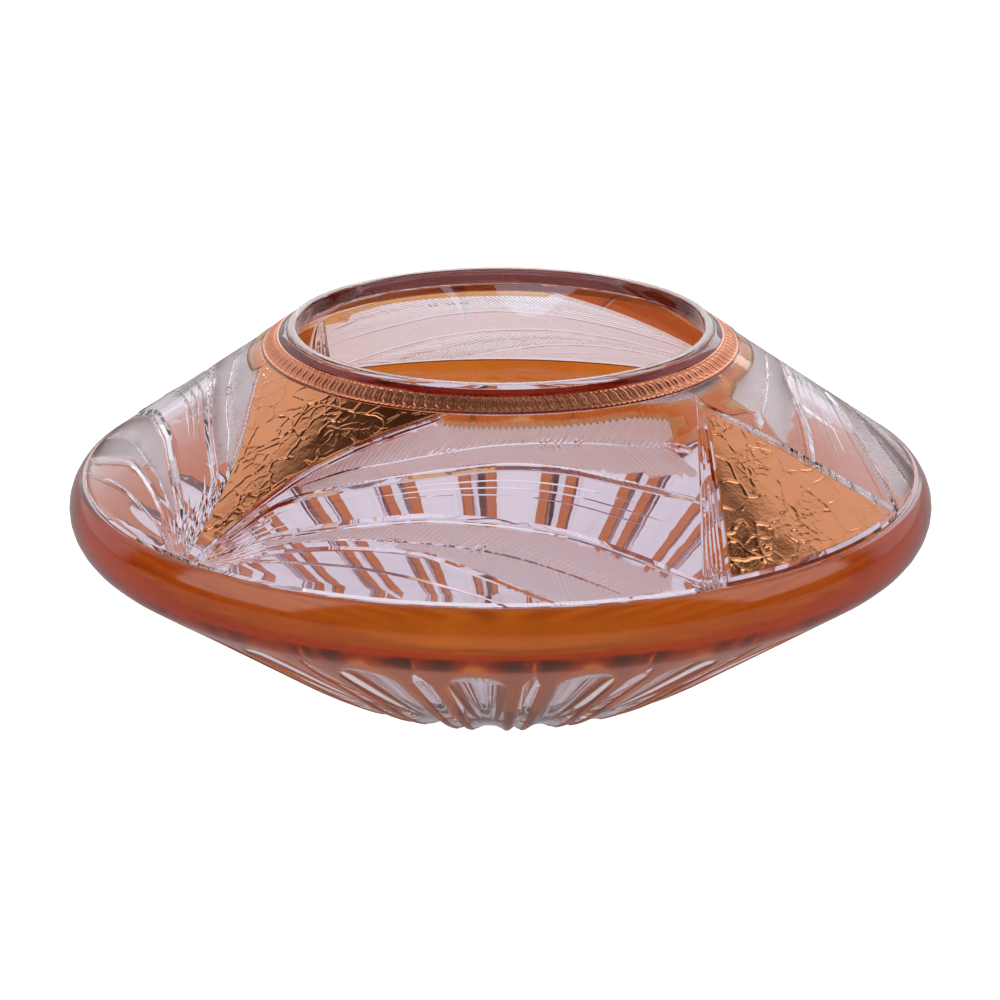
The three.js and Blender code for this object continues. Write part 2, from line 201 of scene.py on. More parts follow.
    def inner_outline(self, steps: int) -> list[tuple[float, float]]:
        """The inside of the wall, from the mouth's edge to the middle of the floor.

        Args:
            steps: number of points along each line and curve.

        Returns:
            The (radius, height) points.
        """
        neck = (self.shoulder_normal @ self.rim - self.wall
                - self.shoulder_normal[0] * self.mouth_radius) / self.shoulder_normal[1]
        points = [(self.mouth_radius, z) for z in np.linspace(self.height - 0.6, neck, 4)]
        inner = self.girdle_round - self.wall
        top = self.centre + inner * self.shoulder_normal
        for share in np.linspace(0.0, 1.0, steps)[1:-1]:
            points.append(tuple(np.array([self.mouth_radius, neck]) * (1 - share) + top * share))
        for turn in np.linspace(self.high_turn, self.low_turn, steps):
            points.append(tuple(self.centre + inner * np.array([math.cos(turn), math.sin(turn)])))
        start = self.centre + inner * self.belly_normal
        end = np.array([self.blend_radius, self.belly_height(self.blend_radius, self.wall)])
        for share in np.linspace(0.0, 1.0, steps)[1:-1]:
            points.append(tuple(start * (1 - share) + end * share))
        corner = np.array([self.belly_radius(self.floor, self.wall), self.floor])
        last = np.array([self.foot_radius - self.wall, self.floor])
        for u in np.linspace(0.0, 1.0, steps):
            points.append(tuple((1 - u) ** 2 * end + 2 * u * (1 - u) * corner + u**2 * last))
        for share in np.linspace(1.0, 0.0, 6)[1:-1]:
            points.append((float(last[0]) * share, self.floor))
        return points


def polar(azimuth: Array, radius: Array | float, height: Array | float) -> Array:
    """Points from azimuths, radii and heights; azimuth 0 is the front and grows to the right."""
    turn = np.radians(azimuth)
    return np.stack(np.broadcast_arrays(radius * np.sin(turn), -radius * np.cos(turn), height), axis=1)


def run_along(path: Array) -> Array:
    """Distance along a path at each of its points."""
    return np.concatenate([[0.0], np.cumsum(np.linalg.norm(np.diff(path, axis=0), axis=1))])


@dataclass(frozen=True)
class Sector:
    """The shoulder between a fan panel's axis and a wedge panel's axis."""

    fan: float
    wedge: float
    front_span: float

    def azimuth(self, across: Array) -> Array:
        """Azimuths of angles measured from the fan's axis in the front sector."""
        return self.fan + across * (self.wedge - self.fan) / self.front_span

    @property
    def mirrored(self) -> bool:
        """Whether the sector runs to the left of its fan."""
        return self.wedge < self.fan


# ------------------------------------------------------------------ cutting
@dataclass(frozen=True)
class Wheel:
    """How a wheel cuts.

    Args:
        half: half of the cut's greatest width.
        steepness: depth over half width.
        satin: how matt the cut is left, 0 to 1.
        taper: shares of the cut's length over which its two ends thin out.
        step: distance between the points along it.
    """

    half: float
    steepness: float = 0.75
    satin: float = 0.0
    taper: tuple[float, float] = (0.15, 0.15)
    step: float = 2.5


# The shoulder's wheels
FAN_EDGE = Wheel(0.95, 0.45, taper=(0.3, 0.0))
BESIDE_FAN_EDGE = Wheel(0.55, 0.5, taper=(0.3, 0.1))
FIRST_MITRE = Wheel(1.15, 0.55, taper=(0.25, 0.10))
SECOND_MITRE = Wheel(1.25, 0.55, taper=(0.25, 0.10))
THIRD_MITRE = Wheel(1.0, 0.5, taper=(0.25, 0.25))
BESIDE_MITRE = Wheel(0.38, 0.8, taper=(0.3, 0.1))
LOW_ARC = Wheel(0.55, 0.8, taper=(0.3, 0.3))
RAY = Wheel(0.62, 0.42, taper=(0.5, 0.6))
WINDOW_LINE = Wheel(0.30, 0.7, taper=(0.2, 0.1), step=3.5)
RIB = Wheel(0.40, 0.8, taper=(0.1, 0.1))
NOTCH = Wheel(0.55, 0.9, taper=(0.5, 0.5), step=1.2)
LEAF = Wheel(2.1, 0.35, taper=(0.5, 0.6), step=1.0)


@dataclass
class Cut:
    """One wheel cut: a V along a path on the unrolled shoulder.

    Args:
        path: points of the centre line, in unrolled millimetres.
        half: half of the cut's width at each point.
        steepness: depth over half width.
        satin: how matt the cut is left, 0 to 1.
    """

    path: Array
    half: Array
    steepness: float = 0.75
    satin: float = 0.0

    def sides(self) -> tuple[Array, Array]:
        """Finds the two edges of the cut.

        Returns:
            The left edge's points and the right one's.
        """
        along = np.gradient(self.path, axis=0)
        along /= np.maximum(np.linalg.norm(along, axis=1), 1e-9)[:, None]
        across = np.stack([-along[:, 1], along[:, 0]], axis=1) * self.half[:, None]
        return self.path + across, self.path - across

    def depth(self, points: Array, margin: float = 0.0) -> Array:
        """Depth under each point of the cut, or of one wider by a margin on each side.

        Args:
            points: points of the unrolled shoulder.
            margin: what is added to half the cut's width.

        Returns:
            The depths, in millimetres.
        """
        result = np.zeros(len(points))
        reach = float(self.half.max()) + margin + 0.01
        low, high = self.path.min(axis=0) - reach, self.path.max(axis=0) + reach
        near = np.flatnonzero(((points >= low) & (points <= high)).all(axis=1))
        if len(near) == 0:
            return result
        here = points[near]
        best = np.zeros(len(near))
        for i in range(len(self.path) - 1):
            start, step = self.path[i], self.path[i + 1] - self.path[i]
            share = np.clip((here - start) @ step / max(step @ step, 1e-12), 0.0, 1.0)
            away = np.linalg.norm(here - start - share[:, None] * step, axis=1)
            half = self.half[i] + share * (self.half[i + 1] - self.half[i]) + margin
            best = np.maximum(best, self.steepness * (half - away))
        result[near] = best
        return result


def flowing(points: Points, pieces: int = 10) -> Array:
    """A smooth curve through a few points (Catmull-Rom).

    Args:
        points: the points.
        pieces: number of steps between each two.

    Returns:
        The curve's points.
    """
    p = np.array(points, dtype=float)
    p = np.vstack([2 * p[0] - p[1], p, 2 * p[-1] - p[-2]])
    curve = []
    for i in range(1, len(p) - 2):
        for t in np.arange(pieces) / pieces:
            curve.append(0.5 * (2 * p[i] + (p[i + 1] - p[i - 1]) * t
                                + (2 * p[i - 1] - 5 * p[i] + 4 * p[i + 1] - p[i + 2]) * t**2
                                + (3 * p[i] - p[i - 1] - 3 * p[i + 1] + p[i + 2]) * t**3))
    curve.append(p[-2])
    return np.array(curve)


@dataclass
class ShoulderPattern:
    """The cutting of one sector, in angles from the fan's axis and rise from the girdle.

    Rise runs from 0 at the girdle line to 1 at the rim's edge.
    """

    meridian: Meridian
    span: float
    reach: float = 91.5
    girdle_rise: float = 0.0503
    frieze_rise: float = 0.887
    fan_top: float = 33.0
    wedge_half: float = 18.4
    wedge_tip: float = 0.79
    panel_root: float = 0.065
    barb_pitch: float = 1.9
    barb_angle: float = 52.0
    barb_steepness: float = 0.23
    least_barb: int = 9
    edge_cuts: int = 5
    edge_pitch: float = 1.75
    frost_margin: float = 0.25
    cuts: list[Cut] = field(default_factory=list)

    def __post_init__(self) -> None:
        """Draws the curves and then the cuts that follow them."""
        self.cone = math.cos(math.radians(self.meridian.shoulder_slope))
        self.apex = float(self.meridian.rim[0]) / self.cone
        self.first_mitre = flowing([(1.5, 0.06), (4, 0.21), (8, 0.375), (15, 0.47), (25, 0.555),
                                    (35, 0.61), (46, 0.643), (57, 0.617), (66, 0.548), (75, 0.455),
                                    (80, 0.385)])
        self.second_mitre = flowing([(1.0, 0.05), (5, 0.13), (10, 0.245), (20, 0.35), (30, 0.412),
                                     (37, 0.425), (47, 0.405), (56, 0.345), (64, 0.235), (70, 0.12),
                                     (74, 0.035)])
        self.third_mitre = flowing([(1.5, 0.04), (6, 0.10), (12, 0.18), (20, 0.24), (29, 0.262), (36, 0.24),
                                    (43, 0.17), (50, 0.08), (54, 0.035)])
        self.low_arc = flowing([(4, 0.05), (10, 0.125), (18, 0.165), (26, 0.175), (34, 0.15), (41, 0.10),
                                (46, 0.05)])
        self.high_rib = flowing([(9, 0.47), (16, 0.575), (24, 0.64), (33, 0.70), (43, 0.743), (54, 0.752),
                                 (64, 0.733), (72, 0.70), (79, 0.665)])
        self.low_rib = flowing([(9, 0.185), (15, 0.245), (22, 0.288), (32, 0.306), (41, 0.29), (48, 0.247),
                                (54, 0.18), (59, 0.105), (62, 0.05)])
        self._cut_mitres()
        self._cut_rays()
        self._cut_windows()
        self.barb_tips = self._cut_ferns()
        self._cut_wedge_edge()
        self._cut_hatch()
        self._cut_rings()

    # -- coordinates
    def run(self, rise: Array | float) -> Array | float:
        """Distance down the shoulder at a rise."""
        return (1.0 - rise) * self.reach

    def unrolled(self, across: Array, rise: Array) -> Array:
        """Unrolls places of the shoulder.

        Args:
            across: angles from the fan's axis.
            rise: rises from the girdle.

        Returns:
            Points of the flat, unrolled shoulder.
        """
        out = self.apex + self.run(np.asarray(rise, dtype=float))
        turn = np.radians(np.asarray(across, dtype=float)) * self.cone
        return np.stack([out * np.sin(turn), -out * np.cos(turn)], axis=-1)

    def rolled(self, points: Array) -> tuple[Array, Array]:
        """Rolls points of the unrolled shoulder up again.

        Args:
            points: the flat points.

        Returns:
            Their angles and rises.
        """
        out = np.hypot(points[..., 0], points[..., 1])
        across = np.degrees(np.arctan2(points[..., 0], -points[..., 1])) / self.cone
        return across, 1.0 - (out - self.apex) / self.reach

    def fan_edge(self, rise: Array | float) -> Array | float:
        """Half the angle of the fan panel's mitred edge at a rise."""
        share = np.clip((np.asarray(rise) - 0.05) / (self.frieze_rise - 0.05), 0.0, 1.0)
        return self.fan_top * (0.015 + 0.30 * share + 0.685 * share**4)

    def wedge_edge(self, rise: Array | float) -> Array | float:
        """Finds half the angle of the wedge panel, whose edges are straight on the unrolled shoulder.

        Args:
            rise: rises from the girdle.

        Returns:
            The half angles.
        """
        steps = np.linspace(0.0, 1.0, 60)[:, None]
        ends = self.unrolled(np.array([0.0, self.wedge_half]), np.array([self.wedge_tip, self.panel_root]))
        across, line = self.rolled(ends[0] * (1 - steps) + ends[1] * steps)
        return np.interp(-np.asarray(rise), -line, across)

    # -- cuts
    def add(self, curve: Array, wheel: Wheel) -> None:
        """Adds a cut along a curve, thinning towards its ends.

        Args:
            curve: its (angle, rise) points.
            wheel: how it is cut.
        """
        flat = self.unrolled(curve[:, 0], curve[:, 1])
        run = run_along(flat)
        even = np.linspace(0.0, run[-1], max(3, int(run[-1] / wheel.step) + 2))
        path = np.stack([np.interp(even, run, flat[:, k]) for k in (0, 1)], axis=1)
        share = even / run[-1]
        width = np.ones(len(even))
        for taper, passed in zip(wheel.taper, (share, 1 - share)):
            if taper:
                width = np.minimum(width, np.sqrt(np.clip(passed / taper, 0.0, 1.0)))
        self.cuts.append(Cut(path, np.maximum(wheel.half * width, 0.02), wheel.steepness, wheel.satin))

    def _cut_mitres(self) -> None:
        """The long sweeping mitres, and the curved edge of the fan panel."""
        rise = np.linspace(0.05, self.frieze_rise - 0.002, 40)
        edge = np.stack([self.fan_edge(rise), rise], axis=1)
        self.add(edge, FAN_EDGE)
        self.add(edge + np.array([1.3, -0.012]) * np.linspace(0.2, 1.0, 40)[:, None], BESIDE_FAN_EDGE)
        self.add(self.first_mitre, FIRST_MITRE)
        self.add(self.second_mitre, SECOND_MITRE)
        self.add(self.third_mitre, THIRD_MITRE)
        for curve, gap in ((self.first_mitre, 0.021), (self.second_mitre, -0.022)):
            self.add(curve[8:-2] + np.array([0.0, gap]), BESIDE_MITRE)
        self.add(self.low_arc, LOW_ARC)

    def _cut_rays(self) -> None:
        """Short rays that spread from the fan's root between the long mitres."""
        rise = np.linspace(0.05, 0.62, 60)
        edge = np.stack([self.fan_edge(rise), rise], axis=1)
        curves = [edge, self.first_mitre, self.second_mitre, self.third_mitre, self.low_arc]
        lengths = [(46, 34, 26), (40, 30, 36), (38, 26, 33), (30, 22, 27)]
        for lower, upper, sizes in zip(curves[1:], curves[:-1], lengths):
            for k, length in enumerate(sizes):
                share = (k + 1) / (len(sizes) + 1)
                pair = [self._walk(curve, length) for curve in (upper, lower)]
                self.add(pair[0] * (1 - share) + pair[1] * share, RAY)

    def _walk(self, curve: Array, length: float, count: int = 16) -> Array:
        """Takes the first stretch of a curve.

        Args:
            curve: its (angle, rise) points.
            length: how far the stretch reaches.
            count: number of points.

        Returns:
            The stretch's evenly spaced (angle, rise) points.
        """
        run = run_along(self.unrolled(curve[:, 0], curve[:, 1]))
        even = np.linspace(2.0, min(length, run[-1]), count)
        return np.stack([np.interp(even, run, curve[:, k]) for k in (0, 1)], axis=1)

    def _cut_windows(self) -> None:
        """Fine lines that run through the polished window between the first two mitres."""
        across = np.linspace(24.0, 71.0, 60)
        upper = np.interp(across, self.first_mitre[:, 0], self.first_mitre[:, 1])
        lower = np.interp(across, self.second_mitre[:, 0], self.second_mitre[:, 1])
        for share in (0.50, 0.64, 0.78):
            trim = slice(0, 60) if share == 0.64 else slice(4, 56)
            line = np.stack([across, upper * share + lower * (1 - share)], axis=1)[trim]
            self.add(line, WINDOW_LINE)

    def _under_frieze(self, across: Array) -> Array:
        """Finds the rise that the upper fern's barbs reach, under the amber and beside the fan.

        Args:
            across: angles from the fan's axis.

        Returns:
            The rises.
        """
        wave = 0.012 * np.cos(np.radians((across - 58) * 5.0))
        over = 0.852 + wave - 0.0016 * np.clip(across - 70, 0, 99)
        rise = np.linspace(0.05, 0.88, 80)
        return np.minimum(over, np.interp(across, self.fan_edge(rise), rise) - 0.05)

    @staticmethod
    def _beside(curve: Array, margin: float, least: float = 0.0) -> Callable[[Array], Array]:
        """A line at a margin beside a curve, and never below a least rise."""
        return lambda across: np.maximum(np.interp(across, curve[:, 0], curve[:, 1]) + margin, least)

    def _cut_ferns(self) -> Array:
        """Two ferns: ribs with slanting barbs on both sides.

        Returns:
            The tips of the upper fern's upper barbs, as (angle, rise).
        """
        self.add(self.high_rib, RIB)
        self.add(self.low_rib, RIB)
        tips = self._barbs(self.high_rib, self._under_frieze, 1, 17.0)
        self._barbs(self.high_rib, self._beside(self.first_mitre, 0.030), -1, 13.0)
        self._barbs(self.low_rib, self._beside(self.second_mitre, -0.035), 1, 15.0)
        self._barbs(self.low_rib, self._beside(self.third_mitre, 0.028, least=0.065), -1, 13.0)
        for across, rise in ((32, 0.70), (35, 0.712), (54, 0.755), (57, 0.754), (61, 0.742),
                             (42, 0.292), (29, 0.305)):
            for shift in (-0.8, 0.4):
                self.add(np.array([[across + shift - 0.7, rise - 0.022], [across + shift, rise],
                                   [across + shift + 1.0, rise + 0.024]]), NOTCH)
        self.add(flowing([(78.6, 0.69), (80.5, 0.665), (83.6, 0.62)]), LEAF)
        return tips

    def _barbs(self, rib: Array, limit: Callable[[Array], Array], side: int, longest: float) -> Array:
        """Cuts the barbs on one side of a rib, each out to a limit line.

        Args:
            rib: the rib's (angle, rise) points.
            limit: rise of the line that the barbs reach, by angle.
            side: 1 for the upper side, -1 for the lower.
            longest: greatest length of a barb.

        Returns:
            The barbs' tips, as (angle, rise).
        """
        flat = self.unrolled(rib[:, 0], rib[:, 1])
        run = run_along(flat)
        tips = []
        for place in np.arange(2.0, run[-1] - 0.5, self.barb_pitch):
            start = np.array([np.interp(place, run, flat[:, k]) for k in (0, 1)])
            ahead = np.array([np.interp(min(place + 1.0, run[-1]), run, flat[:, k]) for k in (0, 1)])
            along = (ahead - start) / max(np.linalg.norm(ahead - start), 1e-9)
            turn = math.radians(self.barb_angle) * side
            heading = np.array([along[0] * math.cos(turn) - along[1] * math.sin(turn),
                                along[0] * math.sin(turn) + along[1] * math.cos(turn)])
            reach = np.arange(0.6, longest, 0.15)
            trail = start + reach[:, None] * heading
            across, rise = self.rolled(trail)
            free = (rise - limit(across)) * side < 0
            stop = len(free) if free.all() else int(np.argmin(free))
            if stop < self.least_barb:
                continue
            path = trail[[0, stop // 2, max(stop - 10, stop // 2 + 1), stop - 1]]
            half = self.barb_pitch * math.sin(math.radians(self.barb_angle)) * 0.49
            self.cuts.append(Cut(path, np.array([0.5 * half, half, half, 0.02]), self.barb_steepness, 1.0))
            tips.append((float(across[stop - 1]), float(rise[stop - 1])))
        return np.array(tips)

    def _cut_wedge_edge(self) -> None:
        """The band of close mitres along the wedge panel's edge."""
        tip = self.unrolled(np.array([self.span]), np.array([self.wedge_tip]))[0]
        foot = self.unrolled(np.array([self.span - self.wedge_half]), np.array([self.panel_root]))[0]
        along = (foot - tip) / np.linalg.norm(foot - tip)
        across = np.array([along[1], -along[0]])
        for k in range(self.edge_cuts):
            away = 0.35 + (k + 0.5) * self.edge_pitch
            start = tip + across * (0.3 + 0.35 * k) - along * (3.0 + 0.4 * k)
            end = foot + across * away + along * 4.0
            flat = start + np.linspace(0.0, 1.0, 24)[:, None] * (end - start)
            angle, rise = self.rolled(flat)
            keep = rise > self.girdle_rise - 0.005
            wheel = Wheel(self.edge_pitch * 0.52, 0.7, taper=(0.3, 0.03), step=3.0)
            self.add(np.stack([angle, rise], axis=1)[keep], wheel)

    def _cut_hatch(self) -> None:
        """Short satin strokes between the frieze and the amber, over the wedge's tip."""
        for across in np.arange(79.5, self.span - 0.8, 0.75):
            low = np.interp(across, (78.0, 82.0, 86.0, 90.0, 94.0), (0.877, 0.864, 0.852, 0.848, 0.840))
            rise = np.array([low, self.frieze_rise - 0.008])
            ends = self.unrolled(np.array([across - 0.6, across + 0.9]), rise)
            path = ends[0] + np.linspace(0.0, 1.0, 3)[:, None] * (ends[1] - ends[0])
            if np.linalg.norm(ends[1] - ends[0]) > 1.2:
                self.cuts.append(Cut(path, np.array([0.1, 0.42, 0.42]), 0.4, 1.0))

    def _cut_rings(self) -> None:
        """The clear line under the frieze and the one that parts the shoulder from the girdle."""
        across = np.linspace(0.0, self.span, 40)
        for rise, half in ((self.girdle_rise, 0.95), (self.frieze_rise, 0.5)):
            self.add(np.stack([across, np.full(40, rise)], axis=1), Wheel(half, 0.8, taper=(0.0, 0.0)))

    def depth(self, across: Array, rise: Array) -> tuple[Array, Array]:
        """Measures the cutting.

        Args:
            across: angles from the fan's axis.
            rise: rises from the girdle.

        Returns:
            Its depth at each place, and how matt it is.
        """
        points = self.unrolled(across, rise)
        polished, matt, frosted = (np.zeros(len(points)) for _ in range(3))
        for cut in self.cuts:
            if cut.satin:
                matt = np.maximum(matt, cut.depth(points))
                frosted = np.where(cut.depth(points, self.frost_margin) > 0.0, cut.satin, frosted)
            else:
                polished = np.maximum(polished, cut.depth(points))
        return np.maximum(polished, matt), np.where(polished > matt + TINY, 0.0, frosted)


@dataclass
class FlutePattern:
    """The belly's flutes over half a repeat, from a broad flute's axis to a narrow one's."""

    meridian: Meridian
    count: int = 22
    phase: float = -3.6
    broad_half: float = 4.35
    narrow_half: float = 1.25
    broad_depth: float = 2.3
    narrow_steepness: float = 0.75
    broad_top: float = 136.6
    narrow_top: float = 138.6
    broad_arch: float = 17.0
    narrow_arch: float = 15.0

    @property
    def half_pitch(self) -> float:
        """Angle of half a repeat."""
        return 180.0 / self.count

    def run_at(self, radius: float) -> float:
        """Distance along the outline of a radius on the straight belly."""
        lean = math.cos(math.radians(self.meridian.belly_slope))
        return self.meridian.end_girdle + (float(self.meridian.belly_top[0]) - radius) / lean

    def _radius(self, run: Array) -> Array:
        """Radius of the outline at distances along it."""
        return self.meridian.at(run)[0][:, 0]

    def _broad_scale(self, run: Array) -> Array:
        """Depth of the broad flutes' middle at distances along the outline."""
        return self.broad_depth * (self._radius(run) / self.broad_top) ** 0.6

    def field(self, across: Array, run: Array) -> Array:
        """Depth of the cutting; below zero it is the height above the cut surface.

        Args:
            across: angles from the broad flute's axis.
            run: distances along the outline.

        Returns:
            The depths, in millimetres.
        """
        top = self.run_at(self.broad_top)
        over = np.clip(1 - (run - top) / self.broad_arch, 0.0, None)
        broad = self._broad_scale(run) * (1 - (across / self.broad_half) ** 2 - over**2)
        wide = self._narrow_width(run) - (self.half_pitch - across)
        narrow = self.narrow_steepness * wide * np.radians(1.0) * self._radius(run)
        return np.maximum(broad, narrow)

    def _narrow_width(self, run: Array) -> Array:
        """Half the angle of a narrow flute, below zero above its tip."""
        return self.narrow_half * np.minimum(1.0, (run - self.run_at(self.narrow_top)) / self.narrow_arch)

    def outline(self, narrow: bool, level: float, count: int = 40) -> Array:
        """The line of a flute along which the cutting is a given depth.

        Args:
            narrow: whether it is the narrow flute's.
            level: the depth.
            count: number of points.

        Returns:
            (angle, run) points of the half repeat, from the flute's tip to the foot.
        """
        end = self.meridian.end_foot
        if narrow:
            spare = level / (self.narrow_steepness * math.radians(1.0) * self.narrow_top)
            top = self.run_at(self.narrow_top) + self.narrow_arch * spare / self.narrow_half
            run = top + (end - top) * np.linspace(0.0, 1.0, count) ** 1.3
            sunk = level / (self.narrow_steepness * np.radians(1.0) * self._radius(run))
            width = self._narrow_width(run) - sunk
            return np.stack([self.half_pitch - np.maximum(width, 0.0), run], axis=1)
        top = self.run_at(self.broad_top)
        grown = 1.0 - level / self.broad_depth
        start = top + self.broad_arch * (1 - math.sqrt(grown))
        run = start + (end - start) * np.linspace(0.0, 1.0, count) ** 2
        over = np.clip(1 - (run - top) / self.broad_arch, 0.0, None)
        room = 1.0 - level / self._broad_scale(run) - over**2
        return np.stack([self.broad_half * np.sqrt(np.maximum(room, 0.0)), run], axis=1)


# ------------------------------------------------------------------ mesh helpers
def triangulate(points: Array, edges: Sequence[tuple[int, int]],
                faces: Sequence[Sequence[int]] = (), inside: bool = False) -> tuple[Array, Array]:
    """Triangles over points that keep the given edges.

    Args:
        points: places in the plane.
        edges: pairs of points that must be joined.
        faces: outlines, if only their inside is wanted.
        inside: whether only the inside of the outlines is kept.

    Returns:
        The points, with any new crossings, and the triangles.
    """
    made = geometry.delaunay_2d_cdt([Vector(p) for p in points.tolist()], list(edges),
                                    [list(f) for f in faces], 1 if inside else 0, 1e-4)
    corners = [f for f in made[2] if len(f) == 3]
    return np.array([[v.x, v.y] for v in made[0]]), np.array(corners)


@dataclass
class Sheet:
    """Vertices and triangles that are gathered into one mesh."""

    points: list[Array] = field(default_factory=list)
    faces: list[tuple[int, ...]] = field(default_factory=list)
    plain: list[bool] = field(default_factory=list)
    satin: list[Array] = field(default_factory=list)
    count: int = 0

    def add(self, points: Array, faces: Iterable[Sequence[int]], plain: Sequence[bool] | None = None,
            satin: Array | None = None) -> int:
        """Adds vertices and faces.

        Args:
            points: places of the vertices.
            faces: their faces, numbered from these points' first.
            plain: which faces are uncut and get the turned form's normals; none by default.
            satin: how matt each vertex is; not at all by default.

        Returns:
            The number of the first vertex.
        """
        first = self.count
        self.points.append(points)
        self.satin.append(np.zeros(len(points)) if satin is None else satin)
        self.count += len(points)
        faces = [tuple(int(i) + first for i in face) for face in faces]
        self.faces.extend(faces)
        self.plain.extend([False] * len(faces) if plain is None else plain)
        return first

    def mesh(self, name: str, merge: float = 0.0006) -> Piece:
        """Makes the object, in metres, with its doubles merged and its faces outwards.

        Args:
            name: its name.
            merge: distance under which vertices are doubles.

        Returns:
            The object.
        """
        data = bpy.data.meshes.new(name)
        data.from_pydata((np.vstack(self.points) * MM).tolist(), [], self.faces)
        data.attributes.new("plain", "INT", "FACE").data.foreach_set("value", [int(p) for p in self.plain])
        data.attributes.new("satin", "FLOAT", "POINT").data.foreach_set("value", np.concatenate(self.satin))
        piece = bpy.data.objects.new(name, data)
        bpy.context.collection.objects.link(piece)
        alone(piece)
        bpy.ops.object.mode_set(mode="EDIT")
        bpy.ops.mesh.select_all(action="SELECT")
        bpy.ops.mesh.remove_doubles(threshold=merge * MM)
        bpy.ops.mesh.normals_make_consistent(inside=False)
        bpy.ops.object.mode_set(mode="OBJECT")
        return piece


def alone(piece: Piece) -> None:
    """Selects one object and nothing else.

    Args:
        piece: the object.
    """
    bpy.ops.object.select_all(action="DESELECT")
    piece.select_set(True)
    bpy.context.view_layer.objects.active = piece


def zipped(upper: Array, upper_turn: Array, lower: Array, lower_turn: Array) -> list[tuple[int, int, int]]:
    """Triangles between two rings of vertices that don't line up.

    Args:
        upper: vertex numbers of one ring, in the order of their azimuths.
        upper_turn: their azimuths.
        lower: vertex numbers of the other ring.
        lower_turn: their azimuths.

    Returns:
        The triangles.
    """
    i = j = 0
    faces = []
    lag = int(np.searchsorted(lower_turn, upper_turn[0]))
    lower, lower_turn = np.roll(lower, -lag), np.roll(lower_turn, -lag)
    lower_turn = np.where(lower_turn < upper_turn[0], lower_turn + FULL_TURN, lower_turn)
    upper_turn = np.append(upper_turn, upper_turn[0] + FULL_TURN)
    lower_turn = np.append(lower_turn, lower_turn[0] + FULL_TURN)
    while i < len(upper) or j < len(lower):
        a, b = int(upper[i % len(upper)]), int(lower[j % len(lower)])
        if j >= len(lower) or (i < len(upper) and upper_turn[i + 1] <= lower_turn[j + 1]):
            faces.append((a, int(upper[(i + 1) % len(upper)]), b))
            i += 1
        else:
            faces.append((a, int(lower[(j + 1) % len(lower)]), b))
            j += 1
    return faces


def grid_quads(columns: int, rows: int) -> list[tuple[int, ...]]:
    """Quads over a grid of places.

    Args:
        columns: number of quads in each row.
        rows: number of rows.

    Returns:
        The quads, with the places numbered row by row.
    """
    wide = columns + 1
    return [(j * wide + i, j * wide + i + 1, (j + 1) * wide + i + 1, (j + 1) * wide + i)
            for j in range(rows) for i in range(columns)]


def add_rings(sheet: Sheet, rings: Sequence[Array], middle: float | None = None) -> None:
    """Adds rings of quads, closed by a fan of triangles at the axis if a middle is given.

    Args:
        sheet: where they are gathered.
        rings: each ring's points, as many in one as in the next.
        middle: height of the fan's middle.
    """
    count = len(rings[0])
    beside = [(i, (i + 1) % count) for i in range(count)]
    faces = [(k * count + i, k * count + j, (k + 1) * count + j, (k + 1) * count + i)
             for k in range(len(rings) - 1) for i, j in beside]
    points = list(rings)
    if middle is not None:
        last = (len(rings) - 1) * count
        points.append(np.array([[0.0, 0.0, middle]]))
        faces += [(last + i, last + j, last + count) for i, j in beside]
    sheet.add(np.vstack(points), faces)


def plate(name: str, faces: Sequence[tuple[int, ...]], outer: Array, inner: Array, merge: float,
          satin: Array | None = None) -> Piece:
    """Makes a closed thin plate: two skins over the same faces, joined along every open edge.

    Args:
        name: name of the piece.
        faces: the outer skin's faces.
        outer: the outer skin's points.
        inner: the inner skin's points.
        merge: distance under which vertices are doubles.
        satin: the finish's attribute at the points of one skin.

    Returns:
        The piece.
    """
    count = len(outer)
    sides: dict[tuple[int, int], None] = {}
    for face in faces:
        for p, q in zip(face, face[1:] + face[:1]):
            if (q, p) in sides:
                del sides[(q, p)]
            else:
                sides[(p, q)] = None
    sheet = Sheet()
    sheet.add(np.vstack([outer, inner]),
              [*faces, *(tuple(i + count for i in face[::-1]) for face in faces),
               *((p, p + count, q + count, q) for p, q in sides)],
              satin=None if satin is None else np.concatenate([satin, satin]))
    return sheet.mesh(name, merge)


def smooth(piece: Piece, angle: float) -> None:
    """Shades a piece smooth, with edges sharper than an angle left crisp."""
    alone(piece)
    bpy.ops.object.shade_smooth_by_angle(angle=math.radians(angle))


# ------------------------------------------------------------------ the glass
class Net:
    """Places on the unrolled form and the lines that the triangles over them follow."""

    def __init__(self, wide: float) -> None:
        """Starts an empty net.

        Args:
            wide: width of an angle of one degree.
        """
        self.wide = wide
        self.points: list[Array] = []
        self.edges: list[tuple[int, int]] = []
        self.count = 0

    def line(self, path: Array) -> None:
        """Adds a line.

        Args:
            path: its (width, run) points.
        """
        self.points.append(path)
        self.edges.extend((self.count + i, self.count + i + 1) for i in range(len(path) - 1))
        self.count += len(path)

    def border(self, across: float, start: float, end: float, columns: int, rows: int) -> None:
        """Adds the four sides of the net.

        Args:
            across: the net's width.
            start: distance along the outline at which it starts.
            end: distance at which it ends.
            columns: number of steps in its upper and lower sides.
            rows: number of steps in its left and right sides.
        """
        down, along = np.linspace(start, end, rows + 1), np.linspace(0.0, across, columns + 1)
        for x in (0.0, across):
            self.line(np.stack([np.full(rows + 1, x), down], axis=1))
        for y in (start, end):
            self.line(np.stack([along, np.full(columns + 1, y)], axis=1))

    def triangles(self, loose: Array) -> tuple[Array, Array]:
        """Joins the lines and some loose points.

        Args:
            loose: the (width, run) points.

        Returns:
            The (angle, run) places and the triangles over them.
        """
        places, triangles = triangulate(np.vstack([*self.points, loose]), self.edges)
        places[:, 0] /= self.wide
        return places, triangles


